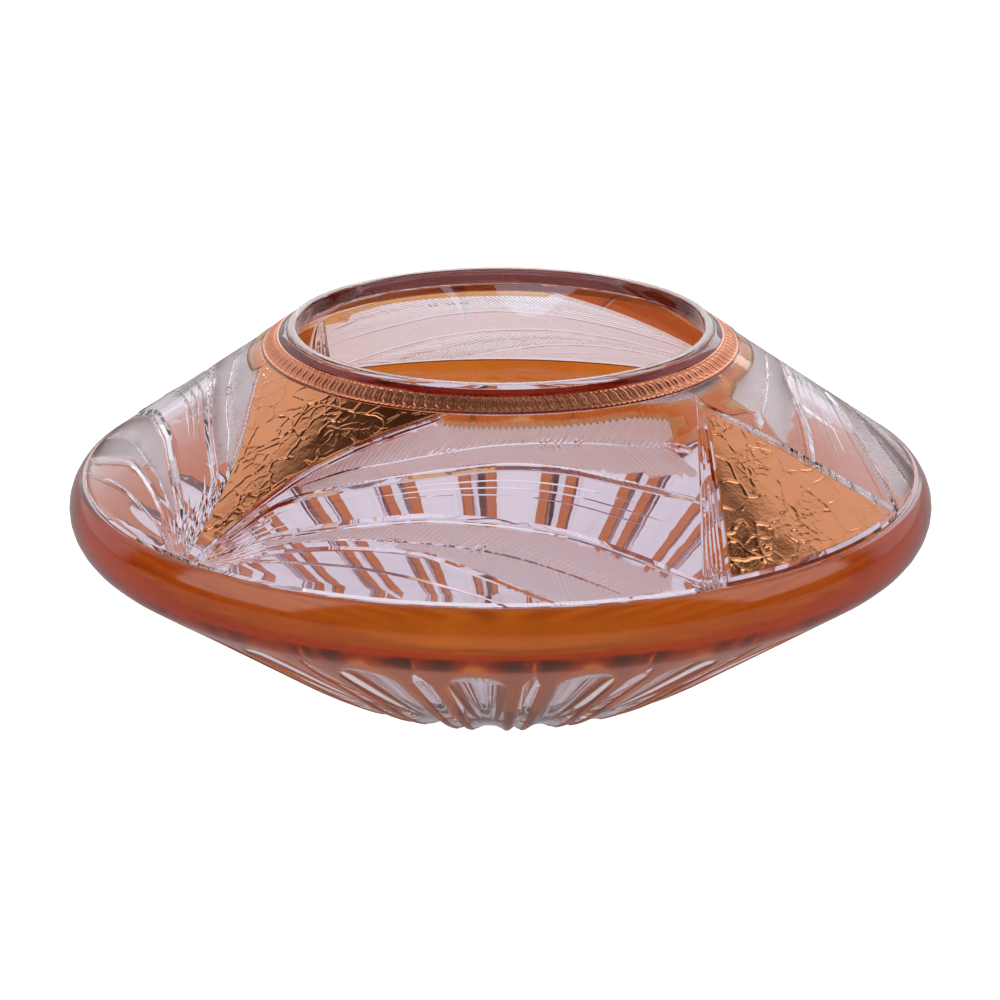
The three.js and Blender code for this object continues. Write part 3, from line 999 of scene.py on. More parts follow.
@dataclass
class ShoulderNet:
    """Triangles over one sector of the shoulder that follow every cut in it."""

    pattern: ShoulderPattern
    start: float = 0.0
    end: float = 88.4
    columns: int = 47
    rows: int = 44
    grid: float = 3.2
    wide: float = 1.95

    def build(self) -> tuple[Array, Array]:
        """Makes the net.

        Returns:
            Its (angle, run) places and the triangles over them.
        """
        net = Net(self.wide)
        span = self.pattern.span * self.wide
        net.border(span, self.start, self.end, self.columns, self.rows)
        for cut in self.pattern.cuts:
            for path in (cut.path, *cut.sides()):
                across, rise = self.pattern.rolled(path)
                flat = np.stack([across * self.wide, self.pattern.run(rise)], axis=1)
                net.line(np.clip(flat, (0.0, self.start), (span, self.end)))
        x = np.arange(self.grid, span - 1.0, self.grid)
        y = np.arange(self.start + self.grid, self.end - 1.0, self.grid)
        mesh = np.stack(np.meshgrid(x, y), axis=-1)
        mesh[1::2, :, 0] += self.grid * 0.5
        mesh = mesh.reshape(-1, 2)
        return net.triangles(mesh[mesh[:, 0] < span - 0.5])


@dataclass
class BellyNet:
    """Triangles over half a repeat of the flutes, from the girdle line to the foot."""

    flutes: FlutePattern
    start: float = 88.4
    skin: float = 0.55
    wide: float = 1.9
    columns: int = 9
    rows: int = 46
    inner_columns: int = 8
    first_row: float = 89.1

    def build(self) -> tuple[Array, Array]:
        """Makes the net.

        Returns:
            Its (angle, run) places and the triangles over them.
        """
        end = self.flutes.meridian.end_foot
        across = self.flutes.half_pitch * self.wide
        net = Net(self.wide)
        net.border(across, self.start, end, self.columns, self.rows)
        for narrow in (False, True):
            for level in (0.0, -self.skin):
                net.line(self.flutes.outline(narrow, level) * (self.wide, 1.0))
        along = np.linspace(0.0, across, self.columns + 1)
        net.line(np.stack([along, np.full(self.columns + 1, self.first_row)], axis=1))
        x = np.linspace(0.0, across, self.inner_columns + 2)[1:-1]
        y = np.linspace(self.start, end, self.rows + 1)[1:-1]
        return net.triangles(np.stack(np.meshgrid(x, y), axis=-1).reshape(-1, 2))

    def repeats(self, across: Array) -> Iterator[tuple[Array, bool]]:
        """Goes round the bowl, one half repeat after another.

        Args:
            across: angles from a broad flute's axis.

        Yields:
            The azimuths of the angles there, and whether that half is mirrored.
        """
        for cell in range(self.flutes.count):
            middle = self.flutes.phase + cell * 2 * self.flutes.half_pitch
            yield middle + across, False
            yield middle - across, True


@dataclass
class CrystalBody:
    """The clear wall: lip, cut shoulder, fluted belly, foot and the smooth inside."""

    meridian: Meridian
    pattern: ShoulderPattern
    flutes: FlutePattern
    sectors: Sequence[Sector]
    skin: float = 0.5
    inside_steps: int = 18
    foot_edge: float = 0.3
    foot_rings: Points = ((48.6, 0.0), (44.0, 0.0), (42.5, 0.6), (30.0, 0.9), (16.0, 1.0), (5.0, 1.05))
    foot_middle: float = 1.05

    def build(self) -> Piece:
        """Models the wall as one closed mesh.

        Returns:
            The piece.
        """
        sheet = Sheet()
        shoulder_ring = self._shoulder(sheet)
        belly_ring, foot_ring = self._belly(sheet)
        self._join(sheet, shoulder_ring, belly_ring)
        self._foot(sheet, foot_ring)
        self._lip_and_inside(sheet)
        piece = sheet.mesh("crystal_wall")
        smooth(piece, 20.0)
        self._true_normals(piece)
        return piece

    def _shoulder(self, sheet: Sheet) -> Ring:
        """Adds the four sectors.

        Args:
            sheet: where the wall is gathered.

        Returns:
            The vertices of their lower border, with their azimuths.
        """
        net = ShoulderNet(self.pattern)
        places, triangles = net.build()
        depth, satin = self.pattern.depth(places[:, 0], 1.0 - places[:, 1] / self.pattern.reach)
        depth[places[:, 1] < TINY] = 0.0
        flat = (depth[triangles] < UNCUT).all(axis=1).tolist()
        low = np.flatnonzero(places[:, 1] > net.end - UNCUT)
        ring = []
        for sector in self.sectors:
            azimuth = sector.azimuth(places[:, 0])
            corners = triangles[:, ::-1] if sector.mirrored else triangles
            points = self.meridian.around(azimuth, places[:, 1], self.skin + depth)
            first = sheet.add(points, corners, flat, satin)
            ring.extend((first + int(i), float(azimuth[i]) % FULL_TURN) for i in low)
        return ring

    def _belly(self, sheet: Sheet) -> tuple[Ring, Ring]:
        """Adds the flutes' half repeats.

        Args:
            sheet: where the wall is gathered.

        Returns:
            The vertices of their upper border and of their lower one, with their azimuths.
        """
        net = BellyNet(self.flutes)
        places, triangles = net.build()
        depth = np.maximum(0.0, self.flutes.field(places[:, 0], places[:, 1]))
        flat = (depth[triangles] < UNCUT).all(axis=1).tolist()
        upper, lower = [], []
        borders = ((upper, np.flatnonzero(places[:, 1] < net.start + UNCUT)),
                   (lower, np.flatnonzero(places[:, 1] > self.meridian.end_foot - UNCUT)))
        for azimuth, mirrored in net.repeats(places[:, 0]):
            corners = triangles[:, ::-1] if mirrored else triangles
            points = self.meridian.around(azimuth, places[:, 1], self.skin + depth)
            first = sheet.add(points, corners, flat)
            for ring, rows in borders:
                ring.extend((first + int(i), float(azimuth[i]) % FULL_TURN) for i in rows)
        return upper, lower

    @staticmethod
    def _sorted(ring: Ring, least: float = 0.01) -> tuple[Array, Array]:
        """Sorts a ring's vertices by azimuth and leaves out its doubles.

        Args:
            ring: vertices with their azimuths.
            least: angle under which two are doubles.

        Returns:
            The vertices and their azimuths.
        """
        order = sorted(ring, key=lambda item: item[1])
        kept = [order[0]]
        for item in order[1:]:
            if item[1] - kept[-1][1] > least:
                kept.append(item)
        if kept[0][1] + FULL_TURN - kept[-1][1] < least:
            kept.pop()
        return np.array([k[0] for k in kept]), np.array([k[1] for k in kept])

    def _join(self, sheet: Sheet, upper: Ring, lower: Ring) -> None:
        """Closes the seam between the shoulder and the belly.

        Args:
            sheet: where the wall is gathered.
            upper: the shoulder's lower border.
            lower: the belly's upper border.
        """
        faces = zipped(*self._sorted(upper), *self._sorted(lower))
        sheet.faces.extend(faces)
        sheet.plain.extend([True] * len(faces))

    def _foot(self, sheet: Sheet, ring: Ring) -> None:
        """Adds the ground foot ring and the polished hollow inside it.

        Args:
            sheet: where the wall is gathered.
            ring: the belly's lower border.
        """
        _, azimuths = self._sorted(ring)
        half_pitch = self.flutes.half_pitch
        half = np.abs((azimuths - self.flutes.phase + half_pitch) % (2 * half_pitch) - half_pitch)
        run = np.full(len(azimuths), self.meridian.end_foot)
        depth = np.maximum(0.0, self.flutes.field(half, run))
        edge = self.meridian.around(azimuths, run, self.skin + depth)
        edge[:, 2] = np.maximum(edge[:, 2], self.foot_edge)
        rings = [polar(azimuths, radius, height) for radius, height in self.foot_rings]
        add_rings(sheet, [edge, *rings], self.foot_middle)

    def _lip_and_inside(self, sheet: Sheet) -> None:
        """Adds the polished lip and the inside of the wall.

        Args:
            sheet: where the wall is gathered.
        """
        across = np.linspace(0.0, self.pattern.span, ShoulderNet.columns + 1)
        azimuths = np.concatenate([sector.azimuth(across) % FULL_TURN for sector in self.sectors])
        azimuths = np.unique(np.round(azimuths, 4))
        start = self.meridian.at(np.array([0.0]), self.skin)[0][0]
        rim, mouth, top = self.meridian.rim, self.meridian.mouth_radius, self.meridian.height
        outline = [tuple(start), (rim[0] - 0.35, rim[1] + 0.15), (rim[0] - 0.55, top - 0.35),
                   (rim[0] - 0.85, top - 0.08), (rim[0] - 1.15, top), (mouth + 0.8, top),
                   (mouth + 0.35, top - 0.1), (mouth + 0.08, top - 0.35)]
        outline += self.meridian.inner_outline(self.inside_steps)
        add_rings(sheet, [polar(azimuths, radius, height) for radius, height in outline], outline[-1][1])

    def _true_normals(self, piece: Piece) -> None:
        """Gives the uncut faces the exact normals of the turned form.

        Args:
            piece: the wall.
        """
        data = piece.data
        spots = np.empty(len(data.vertices) * 3)
        data.vertices.foreach_get("co", spots)
        spots = spots.reshape(-1, 3) / MM
        radius = np.hypot(spots[:, 0], spots[:, 1])
        run = np.linspace(0.0, self.meridian.end_foot, 4000)
        line, slope = self.meridian.at(run, self.skin)
        normals = np.zeros((len(data.loops), 3))
        plain = np.empty(len(data.polygons), dtype=np.int32)
        data.attributes["plain"].data.foreach_get("value", plain)
        nearest = len(run) - 1 - np.searchsorted(line[::-1, 1], spots[:, 2] - TINY)
        nearest = np.clip(nearest, 0, len(run) - 1)
        for face in data.polygons:
            if not plain[face.index]:
                continue
            for loop in face.loop_indices:
                i = data.loops[loop].vertex_index
                n = slope[nearest[i]]
                r = max(radius[i], TINY)
                normals[loop] = (n[0] * spots[i, 0] / r, n[0] * spots[i, 1] / r, n[1])
        data.normals_split_custom_set(normals.tolist())


@dataclass
class GirdleCasing:
    """The amber that is left round the girdle, with the lands that run down between the flutes."""

    meridian: Meridian
    flutes: FlutePattern
    ring_run: float = 86.9
    ring_half: float = 0.95
    ring_steepness: float = 0.8
    thickness: float = 0.55
    land_end: float = 9.0
    fade: float = 0.5
    fade_room: float = 2.5

    def build(self) -> Piece:
        """Models the casing as one closed shell.

        Returns:
            The piece.
        """
        net = BellyNet(self.flutes, start=self.ring_run + self.ring_half, skin=self.thickness)
        places, triangles = net.build()
        run, last = places[:, 1], self.meridian.end_foot - self.land_end
        cut = self.flutes.field(places[:, 0], run)
        cut = np.maximum(cut, self.ring_steepness * (self.ring_half - np.abs(run - self.ring_run)))
        cut = np.maximum(cut, (run - last) * self.fade)
        corners = places[triangles]
        middle = corners.mean(axis=1)
        uncut = self.flutes.field(middle[:, 0], middle[:, 1]) < 0.0
        kept = triangles[uncut & (corners[:, :, 1].max(axis=1) < last + self.fade_room)]
        outer = np.clip(self.thickness + cut, 0.0, self.thickness)
        sheet = Sheet()
        for inset, flip in ((outer, False), (np.full(len(places), self.thickness), True)):
            for azimuth, mirrored in net.repeats(places[:, 0]):
                faces = kept[:, ::-1] if mirrored != flip else kept
                sheet.add(self.meridian.around(azimuth, run, inset), faces)
        piece = sheet.mesh("girdle_casing", merge=0.003)
        smooth(piece, 20.0)
        return piece


@dataclass
class RimCasing:
    """The amber band round the rim, which shows as a strip above the frieze."""

    meridian: Meridian
    start: float = 0.35
    end: float = 10.6
    thickness: float = 0.55
    bed: float = 0.18
    strip: float = 3.3
    facets: int = 240

    def build(self) -> Piece:
        """Models the band as a turned shell with soft edges.

        Returns:
            The piece.
        """
        runs = [self.start, self.start, self.start + 0.25, self.start + 0.6, self.strip - 0.3, self.strip,
                self.end, self.end, self.strip, self.start]
        insets = [self.thickness, 0.30, 0.06, 0.0, 0.0, self.bed, self.bed, self.thickness, self.thickness,
                  self.thickness]
        spot, _ = self.meridian.at(np.array(runs), np.array(insets))
        azimuths = np.linspace(0.0, FULL_TURN, self.facets, endpoint=False)
        sheet = Sheet()
        add_rings(sheet, [polar(azimuths, radius, height) for radius, height in spot])
        piece = sheet.mesh("rim_casing")
        smooth(piece, 30.0)
        return piece


@dataclass
class Frieze:
    """The gilded band under the rim: slanting scrolls between two rows of beads."""

    meridian: Meridian
    start: float = 3.35
    end: float = 10.2
    repeats: int = 132
    columns: int = 12
    rows: int = 18
    base: float = 0.14
    relief: float = 0.52
    back: float = 0.21

    def height(self, around: Array, down: Array) -> Array:
        """Shapes the relief.

        Args:
            around: shares of one repeat.
            down: shares of the band's width.

        Returns:
            The relief, 0 to 1.
        """
        body = np.clip((down - 0.10) / 0.80, 0.0, 1.0)
        bend = 0.85 * (body - 0.5) + 0.16 * np.sin(2 * np.pi * body)
        wave = (around - bend) % 1.0
        ridge = np.exp(-(((wave - 0.5) / 0.17) ** 2))
        second = 0.55 * np.exp(-((((wave + 0.5) % 1.0 - 0.5) / 0.09) ** 2))
        fade = np.sin(np.pi * np.clip(body, 0.02, 0.98)) ** 0.35
        scroll = np.maximum(ridge, second) * fade
        bead = np.abs(np.sin(2 * np.pi * around)) ** 0.8
        edges = np.exp(-(((down - 0.045) / 0.035) ** 2)) + np.exp(-(((down - 0.955) / 0.035) ** 2))
        return np.clip(scroll * (np.abs(down - 0.5) < 0.42) + edges * (0.55 + 0.45 * bead), 0.0, 1.0)

    def build(self) -> Piece:
        """Models one repeat and sets it round the rim.

        Returns:
            The piece.
        """
        grid = np.stack(np.meshgrid(np.linspace(0.0, 1.0, self.columns + 1),
                                    np.linspace(0.0, 1.0, self.rows + 1)), axis=-1).reshape(-1, 2)
        quads = grid_quads(self.columns, self.rows)
        run = self.start + (self.end - self.start) * grid[:, 1]
        height = self.height(grid[:, 0], grid[:, 1])
        on_edge = (grid[:, 1] < TINY) | (grid[:, 1] > 1 - TINY)
        outer = np.where(on_edge, self.back, self.base - self.relief * height * 0.55)
        pitch = FULL_TURN / self.repeats
        sheet = Sheet()
        for k in range(self.repeats):
            sheet.add(self.meridian.around((grid[:, 0] + k) * pitch, run, outer), quads)
        azimuths = np.arange(self.repeats * self.columns) * pitch / self.columns
        borders, _ = self.meridian.at(np.array([self.start, self.end]), self.back)
        add_rings(sheet, [polar(azimuths, radius, height) for radius, height in borders])
        piece = sheet.mesh("gilt_frieze", merge=0.002)
        smooth(piece, 60.0)
        return piece


class PanelKind(Enum):
    """The two sorts of gilded panel on the shoulder."""

    FAN = "fan"
    WEDGE = "wedge"


@dataclass(frozen=True)
class PanelMesh:
    """How far a sort of panel stands from the cuts beside it, and how finely it is meshed.

    Args:
        bed_margin: distance from the panel's line to its bed.
        gilt_margin: distance from the panel's line to its gilding.
        columns: number of the gilding's facets across.
        rows: number of its facets down the shoulder.
        bed_power: how much closer the bed's rows lie near its top.
        gilt_power: how much closer the gilding's rows lie there.
    """

    bed_margin: float
    gilt_margin: float
    columns: int
    rows: int
    bed_power: float = 1.0
    gilt_power: float = 1.0


PANEL_MESHES = {
    PanelKind.FAN: PanelMesh(1.15, 1.95, 200, 185, bed_power=1.5, gilt_power=1.3),
    PanelKind.WEDGE: PanelMesh(1.25, 1.6, 120, 190),
}


@dataclass
class Crackle:
    """Raised veins that part the gilding into smooth islands.

    Args:
        seed: number that picks the pattern.
        island: distance between the islands' middles.
        vein: half width of a vein.
        height: height of a vein.
    """

    seed: int
    island: float = 14.0
    vein: float = 0.40
    height: float = 0.13
    batch: int = 2000

    def relief(self, flat: Array) -> Array:
        """Measures the gilding.

        Args:
            flat: places of the unrolled shoulder.

        Returns:
            Its height at each place.
        """
        spun = np.array([[0.84, -0.54], [0.54, 0.84]])
        bent = flat + np.array([self._drift(p, 14.0, 3.2) + self._drift(p, 3.4, 0.95) for p in flat])
        bent = bent @ spun
        islands = self._veins(bent, (self.island, self.island * 0.55), 1.0)
        fine = self._veins(bent, (self.island * 0.42, self.island * 0.22), 0.8)
        mask = np.clip(self._patches(flat, 13.0, 3.7) * 3.2 + 0.1, 0.0, 1.0)
        open_vein = np.clip(self._patches(flat, 6.0, 1.9) * 4.0 + 1.5, 0.0, 1.0)
        swell = self._patches(flat, 9.0, 5.1)
        return self.height * (islands * open_vein + 0.7 * fine * mask) + 0.05 * swell

    def _patches(self, flat: Array, size: float, spread: float) -> Array:
        """Slow noise over places, with patches of a size; the spread sets seeds apart."""
        return np.array([noise.noise(Vector((p[0] / size, p[1] / size, self.seed * spread))) for p in flat])

    def _drift(self, place: Array, size: float, strength: float) -> Array:
        """A wandering offset that bends the veins."""
        spot = Vector((place[0] / size, place[1] / size, self.seed * 1.3))
        return np.array([noise.noise(spot), noise.noise(spot + Vector((17.1, 9.2, 3.3)))]) * strength

    def _veins(self, places: Array, size: tuple[float, float], width: float) -> Array:
        """Finds how close each place is to a border between islands.

        Args:
            places: the places.
            size: distances between the islands' middles, both ways.
            width: width of the veins, as a share of the usual.

        Returns:
            The closeness, 0 to 1.
        """
        scaled = places / np.array(size)
        low = np.floor(scaled.min(axis=0)) - 1
        span = (np.ceil(scaled.max(axis=0)) + 2 - low).astype(int)
        random = np.random.default_rng(self.seed * 7 + int(size[0] * 10))
        seeds = np.stack(np.meshgrid(np.arange(span[0]), np.arange(span[1])), axis=-1).reshape(-1, 2) + low
        seeds = (seeds + random.uniform(0.08, 0.92, seeds.shape)) * np.array(size)
        result = np.empty(len(places))
        for start in range(0, len(places), self.batch):
            part = places[start:start + self.batch]
            away = np.linalg.norm(part[:, None, :] - seeds[None, :, :], axis=2)
            two = np.partition(away, 1, axis=1)
            result[start:start + self.batch] = two[:, 1] - two[:, 0]
        vein = self.vein * width
        return np.exp(-(np.maximum(result / vein - 0.9, 0.0) ** 2))


@dataclass
class Panel:
    """One gilded panel on its bed of amber."""

    meridian: Meridian
    pattern: ShoulderPattern
    kind: PanelKind
    axis: float
    number: int
    top: float = 10.75
    foot: float = 85.0
    bed_inside: float = 0.55
    bed_outside: float = 0.20
    gilt_inside: float = 0.235
    gilt_outside: float = 0.13
    bed_steps: int = 44

    def _edge(self, run: Array, margin: float) -> Array:
        """Finds the panel's outline.

        Args:
            run: distances down the shoulder.
            margin: how far inside the panel's line it lies, in millimetres.

        Returns:
            Half the panel's angle at each distance.
        """
        rise = 1.0 - run / self.pattern.reach
        if self.kind is PanelKind.FAN:
            half = self.pattern.fan_edge(rise)
        else:
            half = self.pattern.wedge_edge(rise)
        radius = self.meridian.at(run)[0][:, 0]
        return np.maximum(half - np.degrees(margin / radius), 0.02)

    def _span(self, margin: float) -> tuple[float, float]:
        """Finds where the panel starts and ends.

        Args:
            margin: how far inside the panel's line its outline lies.

        Returns:
            Both distances down the shoulder.
        """
        if self.kind is PanelKind.FAN:
            return self.top + (0.0 if margin < 1.3 else 0.35), self.foot - margin * 5.0
        tip = (1.0 - self.pattern.wedge_tip) * self.pattern.reach
        return tip + margin * 3.0, self.foot - 0.6 - (margin - 1.0) * 0.5

    def _shell(self, name: str, places: Array, outer: Array | float, inner: float, steps: tuple[int, int],
               merge: float = 0.001, satin: Array | None = None) -> Piece:
        """Makes a closed plate over the panel.

        Args:
            name: name of the piece.
            places: (angle, run) places over the panel, row by row.
            outer: insets of its outer skin.
            inner: inset of its inner skin.
            steps: numbers of columns and rows between the places.
            merge: distance under which vertices are doubles.
            satin: the finish's attribute at the places.

        Returns:
            The piece.
        """
        azimuth = self.axis + places[:, 0]
        skins = [self.meridian.around(azimuth, places[:, 1], inset) for inset in (outer, inner)]
        return plate(name, grid_quads(*steps), *skins, merge, satin)

    def _grid(self, margin: float, columns: int, rows: int, power: float) -> Array:
        """Spreads places over the panel.

        Args:
            margin: how far inside the panel's line the outermost lie.
            columns: number of steps across.
            rows: number of steps down the shoulder.
            power: how much closer the rows lie near the top.

        Returns:
            The (angle, run) places, row by row.
        """
        start, end = self._span(margin)
        run = start + (end - start) * np.linspace(0.0, 1.0, rows + 1) ** power
        half = self._edge(run, margin)
        across = half[:, None] * np.linspace(-1.0, 1.0, columns + 1)[None, :]
        return np.stack([across.ravel(), np.repeat(run, columns + 1)], axis=1)

    def build_bed(self) -> Piece:
        """Models the amber that is left under the gilding.

        Returns:
            The piece.
        """
        form, steps = PANEL_MESHES[self.kind], (self.bed_steps, self.bed_steps)
        places = self._grid(form.bed_margin, *steps, form.bed_power)
        name = f"{self.kind.value}_bed_{self.number}"
        piece = self._shell(name, places, self.bed_outside, self.bed_inside, steps)
        smooth(piece, 30.0)
        return piece

    def build_gilding(self, crackle: Crackle) -> Piece:
        """Models the gilding.

        Args:
            crackle: the veins in it.

        Returns:
            The piece.
        """
        form = PANEL_MESHES[self.kind]
        steps = (form.columns, form.rows)
        places = self._grid(form.gilt_margin, *steps, form.gilt_power)
        relief = crackle.relief(self.pattern.unrolled(places[:, 0], 1.0 - places[:, 1] / self.pattern.reach))
        # the relief's share is stored as satin; the gilding's finish paints shade on the raised veins from it
        piece = self._shell(f"gilt_{self.kind.value}_{self.number}", places, self.gilt_outside - relief,
                            self.gilt_inside, steps, satin=np.clip(relief / crackle.height, 0.0, 1.0))
        smooth(piece, 60.0)
        return piece


@dataclass
class AmberField:
    """The amber strip between the frieze and the upper fern, which dips towards the wedge's tip."""

    meridian: Meridian
    pattern: ShoulderPattern
    sector: Sector
    number: int
    outside: float = 0.12
    thickness: float = 0.55
    wide: float = 1.9
    step: float = 1.6

    def _border(self) -> Array:
        """Draws the strip's outline; its lower edge follows the barbs' tips.

        Returns:
            Its (angle, rise) points.
        """
        top = [(30.5, 0.876), (40, 0.8775), (50, 0.8775), (60, 0.8775), (70, 0.877), (78, 0.875), (82, 0.862),
               (86, 0.850), (90, 0.846), (92.6, 0.840)]
        right = [(92.2, 0.805), (90.6, 0.765), (88.8, 0.725), (86.3, 0.712), (83.6, 0.706), (81.2, 0.688)]
        tips = self.pattern.barb_tips
        tips = tips[(tips[:, 0] > 33.0) & (tips[:, 0] < 84.0)]
        order = tips[np.argsort(-tips[:, 0])]
        lower = []
        for across, rise in order:
            lower.append((across + 0.10, rise + 0.003))
            lower.append((across - 0.55, rise - 0.0125))
        return np.array(top + right + lower[:-1])

    def build(self) -> Piece:
        """Models the strip as a closed thin plate.

        Returns:
            The piece.
        """
        border = self._border()
        dense = []
        for start, end in zip(border, np.roll(border, -1, axis=0)):
            steps = max(1, int(abs(end[0] - start[0]) / self.step))
            dense.extend(start + (end - start) * i / steps for i in range(steps))
        scale = np.array((self.wide, self.pattern.reach))
        count = len(dense)
        edges = [(i, (i + 1) % count) for i in range(count)]
        places, triangles = triangulate(np.array(dense) * scale, edges, [list(range(count))], inside=True)
        across, rise = (places / scale).T
        azimuth, run = self.sector.azimuth(across), self.pattern.run(rise)
        skins = [self.meridian.around(azimuth, run, inset) for inset in (self.outside, self.thickness)]
        faces = [tuple(corners) for corners in triangles.tolist()]
        piece = plate(f"amber_field_{self.number}", faces, *skins, merge=0.00005)
        smooth(piece, 30.0)
        return piece


# ------------------------------------------------------------------ finishes
@dataclass(frozen=True)
class Colour:
    """A linear colour."""

    red: float
    green: float
    blue: float

    def rgba(self) -> tuple[float, float, float, float]:
        """The colour with full opacity."""
        return (self.red, self.green, self.blue, 1.0)


WHITE = (1.0, 1.0, 1.0, 1.0)


class Tree:
    """A node tree, with short ways of adding to it."""

    def __init__(self, data: NodeTree) -> None:
        """Wraps a node tree."""
        self.data = data

    def feed(self, socket: Socket, value: object) -> None:
        """Links an input to a socket, or sets it to a plain value.

        Args:
            socket: the input.
            value: the socket or the value.
        """
        if isinstance(value, Socket):
            self.data.links.new(value, socket)
        else:
            socket.default_value = value

    def fill(self, node: Node, values: Mapping[str | int, object]) -> None:
        """Feeds several inputs of a node.

        Args:
            node: the node.
            values: sockets or plain values, by the inputs' names or numbers.
        """
        for key, value in values.items():
            self.feed(node.inputs[key], value)

    def add(self, kind: str, values: Mapping[str | int, object] | None = None,
            **settings: object) -> Node:
        """Adds a node.

        Args:
            kind: its type.
            values: what its inputs are fed.
            settings: its own settings.

        Returns:
            The node.
        """
        node = self.data.nodes.new(kind)
        for key, value in settings.items():
            setattr(node, key, value)
        self.fill(node, values or {})
        return node

    def noise(self, scale: object, detail: float = 3.0, distortion: float = 0.0) -> Socket:
        """Adds a noise texture that reads object coordinates.

        Args:
            scale: its scale, plain or from a socket.
            detail: its detail.
            distortion: its distortion.

        Returns:
            The noise's value.
        """
        place = self.add("ShaderNodeTexCoord").outputs["Object"]
        return self.add("ShaderNodeTexNoise", {"Vector": place, "Scale": scale, "Detail": detail,
                                               "Distortion": distortion}).outputs["Fac"]

    def span(self, source: Socket, low: tuple[float, float],
             high: tuple[float, float]) -> Socket:
        """Stretches a value, clamped.

        Args:
            source: the value.
            low: a value, and what it becomes.
            high: another value, and what it becomes.

        Returns:
            The stretched value.
        """
        ends = {"From Min": low[0], "To Min": low[1], "From Max": high[0], "To Max": high[1]}
        return self.add("ShaderNodeMapRange", {"Value": source, **ends}).outputs["Result"]

    def math(self, operation: str, first: object, second: object) -> Socket:
        """A sum, product or other operation on two values or sockets."""
        return self.add("ShaderNodeMath", {0: first, 1: second}, operation=operation).outputs[0]

    def blend(self, mask: Socket, first: Colour, second: Colour) -> Socket:
        """Goes from one colour to another as a mask rises.

        Args:
            mask: the mask.
            first: the colour at 0.
            second: the colour at 1.

        Returns:
            The colour.
        """
        ramp = self.add("ShaderNodeValToRGB", {"Fac": mask})
        for stop, colour in zip(ramp.color_ramp.elements, (first, second)):
            stop.color = colour.rgba()
        return ramp.outputs["Color"]

    def choice(self, mask: Socket, first: object, second: object) -> Socket:
        """The first colour where the mask is 0 and the second where it is 1."""
        return self.add("ShaderNodeMix", {0: mask, 6: first, 7: second}, data_type="RGBA").outputs[2]

    def attribute(self, name: str) -> Socket:
        """A value stored on the mesh."""
        return self.add("ShaderNodeAttribute", attribute_name=name).outputs["Fac"]

    def effect(self, group: NodeTree, **values: float) -> Socket:
        """What a shared effect puts out, with the given values."""
        return self.add("ShaderNodeGroup", values, node_tree=group).outputs[0]

    def bump(self, height: Socket, strength: float, distance: float) -> Socket:
        """A normal from a height."""
        values = {"Height": height, "Strength": strength, "Distance": distance}
        return self.add("ShaderNodeBump", values).outputs["Normal"]


class SharedEffects:
    """Node groups that several finishes use."""

    def __init__(self) -> None:
        """Makes the groups."""
        self.handling = self._handling()
        self.waves = self._waves()
        self.clouding = self._clouding()

    @staticmethod
    def _start(name: str, output: str, **inputs: float) -> tuple[Tree, Mapping, Socket]:
        """Starts a group that puts out one value.

        Args:
            name: its name.
            output: name of what it puts out.
            inputs: its inputs' usual values.

        Returns:
            Its tree, its inputs and the socket that takes the result.
        """
        group = bpy.data.node_groups.new(name, "ShaderNodeTree")
        for label, value in inputs.items():
            socket = group.interface.new_socket(label, in_out="INPUT", socket_type="NodeSocketFloat")
            socket.default_value = value
        group.interface.new_socket(output, in_out="OUTPUT", socket_type="NodeSocketFloat")
        tree = Tree(group)
        return tree, tree.add("NodeGroupInput").outputs, tree.add("NodeGroupOutput").inputs[0]

    def _handling(self) -> NodeTree:
        """Builds faint smears and specks of dust, as an addition to the roughness.

        Returns:
            The group.
        """
        tree, given, result = self._start("handling", "Roughness", Base=0.03, Amount=0.03)
        smear = tree.span(tree.noise(26.0, 4.0, 1.2), (0.52, 0.0), (0.72, 1.0))
        speck = tree.span(tree.noise(1900.0, 1.0), (0.70, 0.0), (0.76, 1.5))
        scaled = tree.math("MULTIPLY", tree.math("ADD", smear, speck), given["Amount"])
        tree.feed(result, tree.math("ADD", scaled, given["Base"]))
        return tree.data

    def _waves(self) -> NodeTree:
        """Builds the slow waves that blowing leaves in a glass surface, as a height.

        Returns:
            The group.
        """
        tree, _, result = self._start("blown_waves", "Height")
        slow, quick = tree.noise(14.0, 1.0, 0.6), tree.noise(70.0, 2.0)
        tree.feed(result, tree.math("ADD", slow, tree.math("MULTIPLY", quick, 0.12)))
        return tree.data

    def _clouding(self) -> NodeTree:
        """Builds a soft mask of thicker and thinner colour.

        Returns:
            The group.
        """
        tree, given, result = self._start("clouding", "Mask", Scale=22.0)
        tree.feed(result, tree.span(tree.noise(given["Scale"], 3.0, 0.8), (0.32, 0.0), (0.68, 1.0)))
        return tree.data


def new_material(name: str, values: Mapping[str, object]) -> tuple[Material, Tree, Node]:
    """Starts a material with a tree that holds only its shader and output.

    Args:
        name: its name.
        values: plain values of the shader's inputs.

    Returns:
        The material, its tree and its shader.
    """
    material = bpy.data.materials.new(name)
    material.use_nodes = True
    material.node_tree.nodes.clear()
    tree = Tree(material.node_tree)
    shader = tree.add("ShaderNodeBsdfPrincipled", values)
    tree.add("ShaderNodeOutputMaterial", {"Surface": shader.outputs["BSDF"]})
    return material, tree, shader


def new_glass(name: str, index: float) -> tuple[Material, Tree, Node]:
    """Starts a clear material with an index of refraction."""
    return new_material(name, {"Metallic": 0.0, "Transmission Weight": 1.0, "IOR": index})


